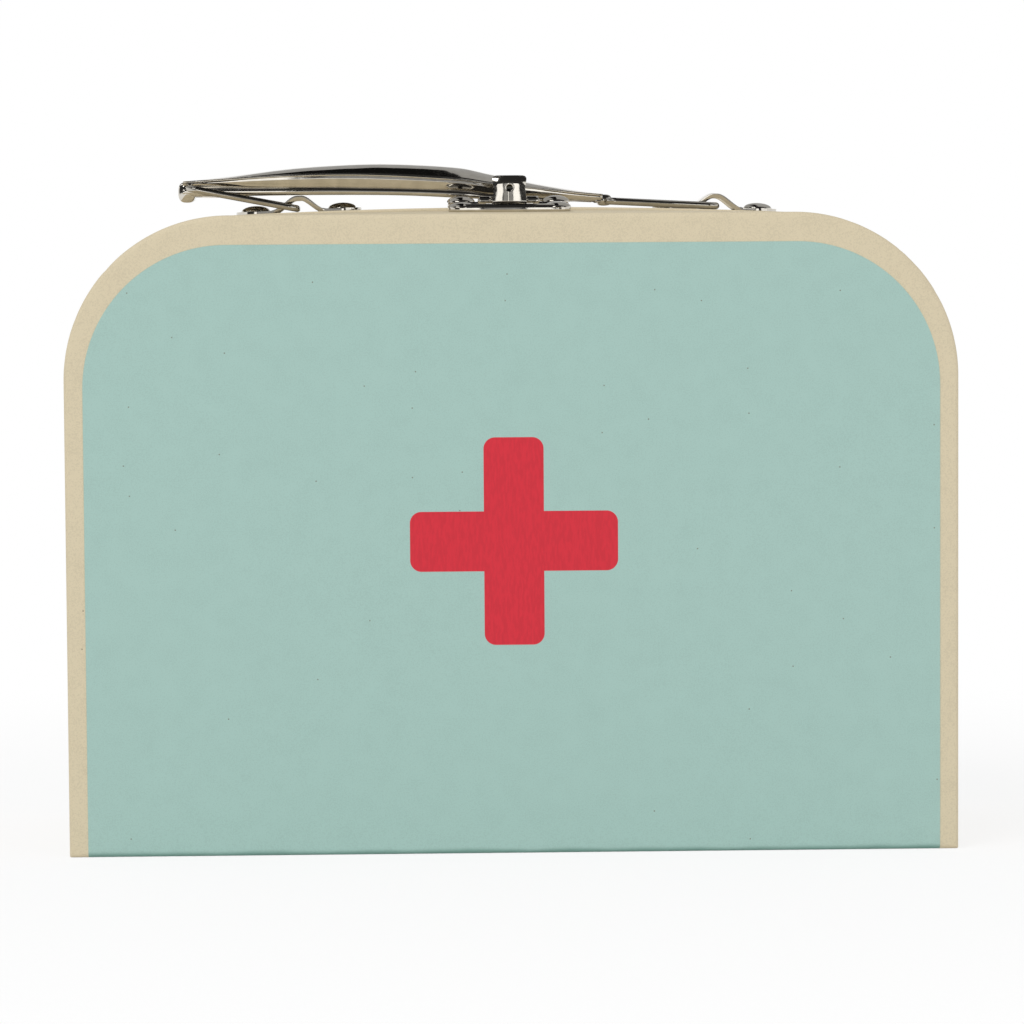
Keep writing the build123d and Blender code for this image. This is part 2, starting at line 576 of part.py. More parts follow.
def hasp_flap():
    """Knuckle, flap and thumb tab, bent from one strip."""
    tab_y = PIN_Y - HASP_REACH
    flap_depth = HASP_REACH - KNUCKLE_R - KNUCKLE_SIDE_GAP
    flap = Pos(0, tab_y, FLAP_Z) * Box(
        HASP_WIDTH, flap_depth, KNUCKLE_SHEET, align=(Align.CENTER, Align.MIN, Align.MIN))
    flap = fillet(flap.edges().filter_by(Axis.Z), SHOULDER_ROUND)
    tab = extrude(Pos(0, tab_y, 0) * (Plane.XZ * tab_outline()), -KNUCKLE_SHEET)
    body = rolled_strip(-HASP_REACH, HASP_KNUCKLE_WIDTH) + flap + tab
    inner_bend = body.edges().filter_by(Axis.X).sort_by_distance(
        (0, tab_y + KNUCKLE_SHEET, FLAP_Z + KNUCKLE_SHEET))[0]
    body = fillet(inner_bend, TAB_BEND_R)
    dimple_z = FLAP_Z + KNUCKLE_SHEET + TAB_HEIGHT * 0.55
    dimple_cut = Pos(0, tab_y - DIMPLE_R * 0.6, dimple_z) * Sphere(DIMPLE_R)
    return body - dimple_cut - along_pin(PIN_R + KNUCKLE_PLAY, 2 * LATCH_WIDTH)


parts["latch_base_plate"] = latch_base_plate()
parts["latch_base_rivets"] = latch_base_rivets
parts["latch_base_washers"] = latch_base_washers
parts["latch_pin"] = along_pin(PIN_R, KNUCKLE_SPAN)
parts["lid_catch_plate"] = catch_plate()
parts["lid_catch_rivets"] = catch_rivets
parts["lid_catch_washers"] = catch_washers
parts["hasp_flap"] = hasp_flap()


# ---- One file for each piece ----
os.makedirs("parts", exist_ok=True)
for name, shape in parts.items():
    solids = [solid for piece in (shape if isinstance(shape, list) else [shape])
              for solid in piece.solids()]
    export_step(Compound(children=solids, label=name), f"parts/{name}.step")

for name, value in {"pivot left": pivot(-1), "pivot right": pivot(1), "eye left": left_eye,
                    "eye right": right_eye, "pin": Vector(0, PIN_Y, PIN_Z)}.items():
    print(f"{name}: {value.X:.4f} {value.Y:.4f} {value.Z:.4f}")
print(f"eye spacing {EYE_SPACING:.3f}, bar lean {BAR_LEAN:.3f} degrees, nodes {len(parts)}")
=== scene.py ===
# %% [markdown]
# # A paper-covered doctor case
# A child's doctor case is a cardboard box, covered with printed paper, that opens like a suitcase.
# It has nickel-plated fittings on top: a handle on two wire rings, and a small hasp latch.  Its
# boards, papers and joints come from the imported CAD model, and this lesson dresses them: every
# paper gets its print and grain, and the bright metal is made again in finer meshes.

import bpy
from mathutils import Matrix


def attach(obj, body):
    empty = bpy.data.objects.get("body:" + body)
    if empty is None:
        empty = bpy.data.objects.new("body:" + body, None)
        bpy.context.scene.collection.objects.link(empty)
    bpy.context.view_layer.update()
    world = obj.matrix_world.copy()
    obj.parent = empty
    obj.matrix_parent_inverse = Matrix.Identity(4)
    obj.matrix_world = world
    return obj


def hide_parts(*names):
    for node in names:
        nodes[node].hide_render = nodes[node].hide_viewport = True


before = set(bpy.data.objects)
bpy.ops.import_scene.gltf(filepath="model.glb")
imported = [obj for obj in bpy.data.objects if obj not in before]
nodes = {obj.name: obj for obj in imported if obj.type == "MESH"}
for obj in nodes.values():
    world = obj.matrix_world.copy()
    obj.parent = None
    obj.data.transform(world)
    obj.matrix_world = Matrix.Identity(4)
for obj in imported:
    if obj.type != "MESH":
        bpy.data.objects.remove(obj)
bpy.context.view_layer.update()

import math

import bmesh
import bpy
from mathutils import Matrix, Vector, noise

MM = 0.001

# %% [markdown]
# ## The studio
# The case stands on a pale floor in front of nothing but white.  A product picture is lit evenly,
# so the world gives most of the light, and one large lamp from the upper left shapes it.  The
# world could be a picture of a studio, but a plain white one keeps a colour as it is written.

# %% Where the camera stands
CAMERA_PLACE = Vector((-32.3, -1242.5, 176.8)) * MM
YAW, PITCH, ROLL = 1.526, 3.843, -0.378      # degrees: to the right, down, and round the view
LENS = 151.31


def aim(yaw, pitch, roll):
    """The camera's turn: it looks along +Y, then yaws right, pitches down and rolls."""
    look = Matrix.Rotation(math.radians(-yaw), 4, "Z") @ Matrix.Rotation(math.radians(90 - pitch), 4, "X")
    return look @ Matrix.Rotation(math.radians(roll), 4, "Z")


camera = bpy.data.objects.new("camera", bpy.data.cameras.new("camera"))
bpy.context.scene.collection.objects.link(camera)
camera.matrix_world = Matrix.Translation(CAMERA_PLACE) @ aim(YAW, PITCH, ROLL)
camera.data.lens = LENS
camera.data.sensor_width = 36.0
camera.data.clip_start, camera.data.clip_end = 0.05, 50.0
bpy.context.scene.camera = camera
bpy.context.scene.view_settings.view_transform = "Standard"
view = camera.matrix_world.to_3x3() @ Vector((0, 0, -1))
print("camera looks along", tuple(round(part, 3) for part in view))

# %% [markdown]
# ## A small language for materials
# A material is a graph of nodes.  Written node by node it is long and hard to read, so three
# small classes help: `Flow` holds one socket and turns sums in Python into Math nodes, `Graph`
# adds every other kind of node with a single method, and `Finish` is the graph of one material.

# %% Flow: a number that changes over a surface
class Flow:
    """An output socket on which sums can be written; each sum adds a Math node."""

    def __init__(self, graph, socket):
        self.graph, self.socket = graph, socket

    def other(self, out):
        """Another output of the same node, by place or by name."""
        return Flow(self.graph, self.socket.node.outputs[out])

    def math(self, operation, *terms, clamp=False):
        return self.graph.node("ShaderNodeMath", {"operation": operation, "use_clamp": clamp}, *terms)

    def __add__(self, other):
        return self.math("ADD", self, other)

    def __sub__(self, other):
        return self.math("SUBTRACT", self, other)

    def __rsub__(self, other):
        return self.math("SUBTRACT", other, self)

    def __mul__(self, other):
        return self.math("MULTIPLY", self, other)

    def __pow__(self, other):
        return self.math("POWER", self, other)

    def __abs__(self):
        return self.math("ABSOLUTE", self)

    def __lt__(self, other):
        return self.math("LESS_THAN", self, other)

    def __gt__(self, other):
        return self.math("GREATER_THAN", self, other)

    def __and__(self, other):
        """The smaller of the two."""
        return self.math("MINIMUM", self, other)

    def __or__(self, other):
        """The larger of the two."""
        return self.math("MAXIMUM", self, other)

    __radd__, __rmul__ = __add__, __mul__

    def clamped(self):
        return self.math("ADD", self, 0.0, clamp=True)

    def between(self, low, high):
        """0 at low, 1 at high, and a soft step from one to the other."""
        return self.graph.node("ShaderNodeMapRange", {"interpolation_type": "SMOOTHSTEP"},
                               self, low, high, 0.0, 1.0)


# %% Graph: a tree of nodes, and the one way to add a node to it
class Graph:
    def __init__(self, tree):
        self.tree = tree

    def feed(self, socket, value):
        """Links a flow, or several into one socket, or sets a plain value."""
        if isinstance(value, list):
            for flow in value:
                self.feed(socket, flow)
        elif isinstance(value, Flow):
            self.tree.links.new(value.socket, socket)
        elif socket.type == "RGBA" and len(value) == 3:
            socket.default_value = (*value, 1.0)
        else:
            socket.default_value = value

    def node(self, kind, settings=None, *values, out=0, at=None, **named):
        """Adds a node: its settings first, then its sockets in turn, by number or by name."""
        made = self.tree.nodes.new(kind)
        for setting, choice in (settings or {}).items():
            setattr(made, setting, choice)
        for key, value in [*enumerate(values), *(at or {}).items(), *named.items()]:
            self.feed(made.inputs[key.replace("_", " ") if isinstance(key, str) else key], value)
        return Flow(self, made.outputs[out]) if made.outputs else made


# %% Finish: the graph of one material
class Finish(Graph):
    """A material made of a Principled shader; keyword values are set on its own sockets."""

    def __init__(self, name, **values):
        self.material = bpy.data.materials.new(name)
        self.material.use_nodes = True
        super().__init__(self.material.node_tree)
        self.shader = self.tree.nodes["Principled BSDF"]
        self.place = self.node("ShaderNodeTexCoord", out=3)
        self.paint(**values)

    def paint(self, **values):
        for socket, value in values.items():
            self.feed(self.shader.inputs[socket.replace("_", " ")], value)

    def axes(self):
        """The three distances from the origin, along x, y and z."""
        apart = self.node("ShaderNodeSeparateXYZ", None, self.place)
        return [apart.other(axis) for axis in range(3)]

    def grain(self, scale, detail=2.0, rough=0.5, stretch=None):
        """Noise with so many spots to the metre, drawn out along an axis if asked."""
        spot = self.place
        if stretch:
            spot = self.node("ShaderNodeMapping", None, spot, Scale=stretch)
        return self.node("ShaderNodeTexNoise", None, Vector=spot, Scale=scale, Detail=detail, Roughness=rough)

    def tint(self, share, below, above):
        """One colour going over to another by a share; a Mix node's colours are its sockets 6 and 7."""
        return self.node("ShaderNodeMix", {"data_type": "RGBA"}, share, at={6: below, 7: above}, out=2)

    def emboss(self, height, depth):
        """Raises the surface by height times depth, in metres."""
        bump = self.node("ShaderNodeBump", None, Height=height, Strength=1.0, Distance=depth)
        self.paint(Normal=bump)

    def wear(self, *names):
        for name in names:
            slots = nodes[name].data.materials
            slots.clear()
            slots.append(self.material)


# %% The floor, the white all round, and the lamps
WHITE = (1.0, 1.0, 1.0)
WORLD_LEVEL = 0.735


def plainly_seen(graph):
    """1 for what the camera sees, straight, mirrored or through glass, and 0 for light's own rays."""
    ray = graph.node("ShaderNodeLightPath")
    seen = ray.other("Is Camera Ray") + ray.other("Is Transmission Ray") + ray.other("Is Glossy Ray")
    return seen.clamped()


def studio_world(level):
    """Lights the case at this level, and shows plain white to the camera and in reflections."""
    world = bpy.data.worlds.new("studio")
    world.use_nodes = True
    graph = Graph(world.node_tree)
    light = world.node_tree.nodes["Background"].inputs
    graph.feed(light["Color"], WHITE)
    graph.feed(light["Strength"],
               graph.node("ShaderNodeMapRange", None, plainly_seen(graph), 0.0, 1.0, level, 1.0))
    bpy.context.scene.world = world


studio_world(WORLD_LEVEL)


def lamp(name, place, target, size, power):
    """A square soft box at a place, facing a target, all in metres."""
    light = bpy.data.lights.new(name, "AREA")
    light.shape, light.size, light.energy = "SQUARE", size, power
    holder = bpy.data.objects.new(name, light)
    bpy.context.scene.collection.objects.link(holder)
    holder.location = place
    holder.rotation_euler = (Vector(target) - Vector(place)).to_track_quat("-Z", "Y").to_euler()
    print(name, power, "W")


lamp("key_lamp", (-1.0, -1.25, 1.8), (0, 0, 0.1), 1.2, 16.5)
lamp("fill_lamp", (1.5, -1.6, 0.6), (0, 0, 0.1), 1.2, 5.0)

# %% The floor
bpy.ops.mesh.primitive_plane_add(size=12.0)
floor = bpy.context.object
floor.name = "floor"
floor_paint = Finish("floor_paint", Base_Color=(0.93, 0.93, 0.93), Roughness=0.9)
SHADOW_NEAR, SHADOW_FAR = 0.16, 0.45         # metres from the middle: the shadow fades out between them
distance = floor_paint.node("ShaderNodeVectorMath", {"operation": "LENGTH"}, floor_paint.place, out=1)
clear = plainly_seen(floor_paint) * (0.8 + 0.2 * distance.between(SHADOW_NEAR, SHADOW_FAR))
lit = Flow(floor_paint, floor_paint.shader.outputs[0])
floor_shader = floor_paint.node("ShaderNodeMixShader", None, clear, lit,
                                floor_paint.node("ShaderNodeBsdfTransparent"))
floor_paint.feed(floor_paint.tree.nodes["Material Output"].inputs[0], floor_shader)
floor.data.materials.append(floor_paint.material)
print("the floor's material has", len(floor_paint.tree.nodes), "nodes")

# %% [markdown]
# ## Cards for the metal
# Bright metal has no colour of its own: it shows the room.  A product studio hangs cards round
# the object for the metal to see, so the same is done here with plain cards that only
# reflections meet: a dim ceiling behind, dark cards above and in front, and two soft boxes with a
# paler strip between them.  They cast no shadow and light nothing.


# %% Cards that only the metal sees
def card(name, place, target, width, height, level):
    """A plain card at a place, facing a target, that glows at a level in reflections only."""
    bpy.ops.mesh.primitive_plane_add(size=1.0)
    flat = bpy.context.object
    flat.name = name
    flat.scale = (width, height, 1.0)
    flat.location = place
    flat.rotation_euler = (Vector(target) - Vector(place)).to_track_quat("Z", "Y").to_euler()
    dull = Finish(name, Base_Color=(0.0, 0.0, 0.0), Roughness=1.0, Specular_IOR_Level=0.0,
                  Emission_Color=(level, level, level), Emission_Strength=1.0)
    flat.data.materials.append(dull.material)
    for ray in ("camera", "diffuse", "shadow", "transmission", "volume_scatter"):
        setattr(flat, "visible_" + ray, False)
    print(name, width, "by", height, "m at level", level)


HANDLE = (-0.03, 0.0, 0.19)
card("rear_ceiling", (0.0, 2.2, 1.6), (0.0, 2.2, 0.0), 8.0, 5.0, 0.42)
card("front_ceiling", (0.0, -2.8, 1.6), (0.0, -2.8, 0.0), 8.0, 5.0, 0.03)
card("black_card", (-0.045, 0.17, 0.95), HANDLE, 0.26, 0.95, 0.008)
card("dark_front", (0.0, -2.6, 0.85), (0.0, 0.0, 0.85), 8.0, 1.6, 0.035)
card("pale_gap", (-0.03, -2.3, 0.3), HANDLE, 0.5, 0.9, 0.35)
card("left_soft_box", (-0.47, -1.9, 0.25), HANDLE, 0.34, 0.75, 1.5)
card("right_soft_box", (0.41, -1.9, 0.25), HANDLE, 0.34, 0.75, 1.5)

# %% [markdown]
# ## Printed papers
# The case is covered with two papers: a cream one that wraps the walls and shows as a border, and
# a mint sheet on the front, back and foot.  Both are matt, with a fine print grain, and lie on
# board that is never quite flat.  The red cross is printed on the mint, so it is a mask in the
# material, not a piece that stands proud.

# %% Paper in general
CREAM = (0.658, 0.571, 0.402)
MINT = (0.366, 0.539, 0.491)
RED = (0.630, 0.022, 0.040)
SPECK = (0.16, 0.13, 0.09)
SPECKS_PER_METRE, SPECK_REACH, UNCHOSEN = 75.0, 0.016, 0.84


def specks(finish):
    """A few fibre specks: a tiny dot in one out of six cells of a flat pattern on the front's plane.

    On a face that runs from front to back the pattern doesn't change, so a speck becomes a line.
    """
    upright = finish.node("ShaderNodeMapping", None, finish.place, Rotation=(math.pi / 2, 0.0, 0.0))
    cells = finish.node("ShaderNodeTexVoronoi", {"voronoi_dimensions": "2D"},
                        Vector=upright, Scale=SPECKS_PER_METRE)
    chosen = finish.node("ShaderNodeSeparateXYZ", None, cells.other("Color"))
    return 0.7 * (cells < SPECK_REACH) * (chosen > UNCHOSEN)


def paper(name, colour, darker):
    """Matt paper: a mottled colour, fine grain, and the slight waves of the board below."""
    finish = Finish(name, Roughness=0.62, Specular_IOR_Level=0.32)
    mottle = finish.grain(160.0, 3.0, 0.6)
    fine = finish.grain(2600.0, 2.0, 0.7)
    shade = finish.tint((mottle * 0.22 + fine * 0.78).between(0.4, 0.54), darker, colour)
    shade = finish.tint(specks(finish), shade, SPECK)
    waves = finish.grain(22.0, 1.0)
    finish.emboss(waves * 0.9 + mottle * 0.06 + fine * 0.02, 0.35 * MM)
    return finish, shade


def scaled(colour, share):
    return tuple(channel * share for channel in colour)


cream_paper, cream_shade = paper("cream_paper", CREAM, scaled(CREAM, 0.90))
cream_paper.paint(Base_Color=cream_shade)
print("one paper takes", len(cream_paper.tree.nodes), "nodes")

# %% The mint sheet, with painted shade along the foot
FOOT_SHADE = (0.150, 0.285, 0.240)
FOOT_SHADE_FROM, FOOT_SHADE_TO, RAGGED = 1.0 * MM, 2.7 * MM, 1.6 * MM


def with_foot_shade(finish, shade):
    """The foot edge, darkened by painted shade up to a ragged line."""
    height = finish.axes()[2] + finish.grain(45.0) * RAGGED
    return finish.tint(0.85 * (1.0 - height.between(FOOT_SHADE_FROM, FOOT_SHADE_TO)), shade, FOOT_SHADE)


mint_paper, mint_shade = paper("mint_paper", MINT, scaled(MINT, 0.92))
mint_paper.paint(Base_Color=with_foot_shade(mint_paper, mint_shade))

# %% The mint sheet with the red cross
CROSS_CENTRE = (0.2 * MM, 88.0 * MM)
CROSS_HALF = 29.1 * MM
BAR_HALF = 8.4 * MM
CROSS_ROUND = 3.2 * MM
INK_EDGE = 0.06 * MM


def rounded_bar(x, z, half_x, half_z, round_r):
    """The distance outside a bar with rounded corners, from two distances to its middle."""
    over_x, over_z = abs(x) - (half_x - round_r), abs(z) - (half_z - round_r)
    corner = ((over_x | 0.0) ** 2.0 + (over_z | 0.0) ** 2.0) ** 0.5
    return corner + ((over_x | over_z) & 0.0) - round_r


front_paper, front_shade = paper("front_paper", MINT, scaled(MINT, 0.92))
along, _, height = front_paper.axes()
across_x, across_z = along - CROSS_CENTRE[0], height - CROSS_CENTRE[1]
upright = rounded_bar(across_x, across_z, BAR_HALF, CROSS_HALF, CROSS_ROUND)
level = rounded_bar(across_x, across_z, CROSS_HALF, BAR_HALF, CROSS_ROUND)
cross = 1.0 - (upright & level).between(-INK_EDGE, INK_EDGE)
ribs = front_paper.grain(1000.0, 2.0, 0.6, stretch=(1.6, 1.0, 0.35))
red_shade = front_paper.tint(ribs.between(0.35, 0.65), scaled(RED, 0.93), scaled(RED, 1.03))
# The front sheet gets the same painted shade along its foot.
front_paper.paint(Base_Color=front_paper.tint(cross, with_foot_shade(front_paper, front_shade), red_shade))

# %% Boards, lining and cloth
greyboard = Finish("greyboard", Roughness=0.85, Specular_IOR_Level=0.2)
fibre = greyboard.grain(700.0, 4.0, 0.75, stretch=(0.35, 1.0, 1.0))
flake = greyboard.grain(1900.0, 1.0).between(0.62, 0.72)
board_shade = greyboard.tint(fibre.between(0.35, 0.65), (0.31, 0.28, 0.24), (0.44, 0.41, 0.36))
greyboard.paint(Base_Color=greyboard.tint(flake * 0.5, board_shade, (0.66, 0.62, 0.55)))
greyboard.emboss(fibre + 0.4 * flake, 0.1 * MM)
greyboard.wear(*[name for name in nodes if name.endswith("_board")])

lining_paper, lining_shade = paper("lining_paper", (0.78, 0.74, 0.66), (0.72, 0.68, 0.6))
lining_paper.paint(Base_Color=lining_shade)
lining_paper.wear("base_lining", "lid_lining", "base_collar")

THREADS_PER_METRE = 420.0
hinge_cloth = Finish("hinge_cloth", Roughness=0.8, Sheen_Weight=0.25)
warp, weft = (hinge_cloth.node("ShaderNodeTexWave", {"bands_direction": way, "wave_profile": "SIN"},
                               Vector=hinge_cloth.place, Scale=THREADS_PER_METRE, Distortion=0.6, out="Fac")
              for way in "XY")
weave = warp | weft
hinge_cloth.paint(Base_Color=hinge_cloth.tint(weave, (0.50, 0.45, 0.35), (0.72, 0.66, 0.54)))
hinge_cloth.emboss(weave, 0.12 * MM)
hinge_cloth.wear("base_hinge_tape", "lid_hinge_tape")
print("hidden boards, lining and cloth are dressed")

# %% Nickel plate
def plated(name, pale, dark, rough):
    """Bright nickel: faint stains, fine scratches and the ripple of pressed sheet."""
    finish = Finish(name, Metallic=1.0)
    stain = finish.grain(240.0, 3.0, 0.6)
    scratch = finish.grain(1500.0, 2.0, 0.7, stretch=(0.5, 1.4, 1.4))
    finish.paint(Base_Color=finish.tint(stain.between(0.3, 0.7), dark, pale),
                 Roughness=rough + 0.06 * stain.between(0.5, 0.8) + 0.05 * scratch.between(0.6, 0.8))
    finish.emboss(finish.grain(130.0, 1.0), 0.1 * MM)
    return finish


PALE_NICKEL, STAINED_NICKEL, POLISH = (0.69, 0.655, 0.59), (0.58, 0.55, 0.49), 0.07
nickel = plated("nickel_plate", PALE_NICKEL, STAINED_NICKEL, POLISH)
dimple_shaded_nickel = plated("dimple_shaded_nickel", PALE_NICKEL, STAINED_NICKEL, POLISH)
# The wires wear a darker copy of the same nickel, which is painted shade.
shaded_wire_nickel = plated("shaded_wire_nickel", (0.55, 0.52, 0.465), (0.44, 0.42, 0.37), 0.09)
nickel.wear(*[name for name in nodes if "washer" in name])

# %% [markdown]
# ## Pieces in finer meshes
# The CAD model gives each piece its place and its size with few faces.  What the eye meets is
# softer: paper turns round an edge, and sheet metal is pressed and rolled.  So each outer piece is
# laid out again as a grid of points in rows, joined by four-sided faces, and given its thickness
# by a Solidify modifier.  A grid is chosen over sculpting because every row has a size from the
# real thing.

# %% The case's sizes, in millimetres
WIDTH, HEIGHT, FRONT_Y, SEAM_Y, BACK_Y = 250.0, 179.4, -42.5, -15.0, 42.5
CORNER_R = 46.0
FRONT_BOW, LID_BOW, BASE_BOW = 0.05, 1.0, 1.9
CORNER_X, CORNER_Z = WIDTH / 2 - CORNER_R, HEIGHT - CORNER_R
EDGE_R, RIM_R, FOOT_R, WALL = 1.35, 0.7, 0.5, 2.1
SHEET_HALF, SHEET_TOP, SHEET_R = 119.7, 171.2, 40.0
print("the cream border is", WIDTH / 2 - SHEET_HALF, "mm wide at the sides")


# %% From points to a finished piece
def between_rows(rows, columns, loop=False):
    """The four-sided faces of a grid, row after row; a loop joins its last column to its first."""
    last = columns if loop else columns - 1
    return [(row * columns + column, row * columns + (column + 1) % columns,
             (row + 1) * columns + (column + 1) % columns, (row + 1) * columns + column)
            for row in range(rows - 1) for column in range(last)]


def closed_faces(rows, columns):
    """The faces of a stack of loops, with one more face to close each end."""
    last = (rows - 1) * columns
    return between_rows(rows, columns, loop=True) + [tuple(range(columns)),
                                                     tuple(range(last, last + columns))]


def add_piece(name, body, finish, points, faces, inner=None, thick=0.0, ease=0.0,
              steps=2, sharp=55.0, stands_for=()):
    """Makes a piece from points in millimetres; a sheet faces away from the inner point."""
    mesh = bpy.data.meshes.new(name)
    mesh.from_pydata([Vector(point) * MM for point in points], [], faces)
    shape = bmesh.new()
    shape.from_mesh(mesh)
    bmesh.ops.remove_doubles(shape, verts=shape.verts, dist=2e-6)
    bmesh.ops.dissolve_degenerate(shape, edges=shape.edges, dist=2e-6)
    shape.normal_update()
    if inner is None:
        bmesh.ops.recalc_face_normals(shape, faces=shape.faces)
    else:
        centre = Vector(inner) * MM
        facing = sum(face.calc_area() * face.normal.dot(face.calc_center_median() - centre)
                     for face in shape.faces)
        if facing < 0:
            bmesh.ops.reverse_faces(shape, faces=shape.faces)
    shape.to_mesh(mesh)
    shape.free()
    piece = bpy.data.objects.new(name, mesh)
    bpy.context.scene.collection.objects.link(piece)
    if thick:
        wall = piece.modifiers.new("thickness", "SOLIDIFY")
        wall.thickness, wall.offset = thick * MM, -1.0
    if ease:
        soft = piece.modifiers.new("soft_edges", "BEVEL")
        soft.width, soft.segments = ease * MM, steps
        soft.limit_method, soft.angle_limit = "ANGLE", math.radians(50)
    settle(piece, body, finish, sharp, stands_for)


def settle(piece, body, finish, sharp, stands_for):
    """Turns live modifiers into plain mesh, and gives the piece its finish and body."""
    live = bpy.context.evaluated_depsgraph_get()
    mesh = bpy.data.meshes.new_from_object(piece.evaluated_get(live))
    piece.modifiers.clear()
    piece.data = mesh
    mesh.materials.clear()
    mesh.materials.append(finish.material)
    mesh.shade_smooth()
    mesh.set_sharp_from_angle(angle=math.radians(sharp))
    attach(piece, body)
    if stands_for:
        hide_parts(*stands_for)
    print(piece.name, len(mesh.polygons), "faces")


def steps_between(start, stop, count):
    """Evenly spaced values from start to stop, both included."""
    return [start + (stop - start) * step / count for step in range(count + 1)]


def quarter(count):
    """Angles over a quarter turn."""
    return steps_between(0.0, math.pi / 2, count)


def full_turn(count):
    """Angles once round, without the last, which is the first again."""
    return steps_between(0.0, 2 * math.pi, count)[:-1]


# %% [markdown]
# ## The paper skins
# The wall paper is one long strip: it starts under the front sheet, turns round the eased edge,
# runs over the wall, and turns in over the rim.  It is laid out as copies of the case's outline,
# one for each step of that path.  At the round corners a flat paper has to pucker, so the strip
# has small folds there; elsewhere it follows the slow waves of the board.


# %% The outline of the case and of its front sheet
def top_radius(bow):
    """The radius of the long arc over the top, which rises by bow in its middle."""
    return (2 * CORNER_R * bow + bow ** 2 + CORNER_X ** 2) / (2 * bow)


SIDE_STEPS, CORNER_STEPS, TOP_STEPS, FOOT_STEPS = 26, 72, 64, 5
UNDER_X = SHEET_HALF - 3.0


def outline(inset, bow):
    """Points (x, z, fold) from the left underside over the top to the right underside."""
    radius = top_radius(bow)
    tilt = math.asin(CORNER_X / (radius - CORNER_R))
    half, foot, bend = [], max(FOOT_R - inset, 0.0), max(FOOT_R, inset)
    half += [(-x, inset, 0.0) for x in steps_between(UNDER_X, WIDTH / 2 - bend, 3)]
    for turn in steps_between(math.pi * 1.5, math.pi, FOOT_STEPS):
        half.append((-WIDTH / 2 + bend + foot * math.cos(turn), bend + foot * math.sin(turn), 0.0))
    half += [(-WIDTH / 2 + inset, z, 0.0) for z in steps_between(bend, CORNER_Z, SIDE_STEPS)]
    for step, turn in enumerate(steps_between(math.pi, math.pi / 2 + tilt, CORNER_STEPS)):
        out = CORNER_R - inset
        half.append((-CORNER_X + out * math.cos(turn), CORNER_Z + out * math.sin(turn),
                     math.sin(math.pi * step / CORNER_STEPS)))
    top = []
    for turn in steps_between(-tilt, tilt, TOP_STEPS):
        out = radius - inset
        top.append((out * math.sin(turn), HEIGHT + bow - radius + out * math.cos(turn), 0.0))
    return half + top + [(-x, z, fold) for x, z, fold in reversed(half)]


def sheet_outline(inset):
    """The same steps along the edge of the coloured sheet, further in by inset."""
    half = [(-x, EDGE_R, 0.0) for x in steps_between(UNDER_X, WIDTH / 2 - EDGE_R, 3)]
    half += [(-WIDTH / 2 + EDGE_R, EDGE_R, 0.0)] * (FOOT_STEPS + 1)
    half += [(-SHEET_HALF + inset, z, 0.0)
             for z in steps_between(EDGE_R, SHEET_TOP - SHEET_R, SIDE_STEPS)]
    for turn in steps_between(math.pi, math.pi / 2, CORNER_STEPS):
        out = SHEET_R - inset
        half.append((-SHEET_HALF + SHEET_R + out * math.cos(turn),
                     SHEET_TOP - SHEET_R + out * math.sin(turn), 0.0))
    top = [(x, SHEET_TOP - inset, 0.0)
           for x in steps_between(SHEET_R - SHEET_HALF, SHEET_HALF - SHEET_R, TOP_STEPS)]
    return half + top + [(-x, z, fold) for x, z, fold in reversed(half)]


print(len(outline(0.0, BASE_BOW)), "points go once round the case")


# %% Waves and folds in the paper
FLAT_FOOT = 12.0           # how far above the foot edge the swelling is full
SWELL = 0.16               # how far the flat faces swell, in millimetres
PUCKER = 0.16              # how deep the folds at the corners are


def swell(x, z, side):
    """How far a flat face stands out at a place: slow waves, with a trace of finer ones."""
    place = Vector((x / 70.0, z / 60.0, 3.0 * side))
    return SWELL * (0.5 + 0.5 * noise.noise(place)) + 0.05 * noise.noise(place * 4.0)


def rising(z):
    """0 at the eased foot edge, 1 from a little above it: the foot edge itself lies flat."""
    return min(1.0, max(0.0, (z - EDGE_R) / FLAT_FOOT))


def pucker(x, z, side):
    """The depth of the corner folds at a place along the outline."""
    turn = math.atan2(z - CORNER_Z, abs(x) - CORNER_X)
    along = Vector((turn * 9.0, 4.0 * side + (1.0 if x > 0 else 0.0), 0.5))
    return PUCKER * max(0.0, noise.noise(along) + 0.6 * noise.noise(along * 2.7))


# %% The wall paper of one half of the case
PAPER = 0.28               # thick, with its glue
TURN_UNDER = 2.5           # how far the wall paper runs in under the coloured sheet


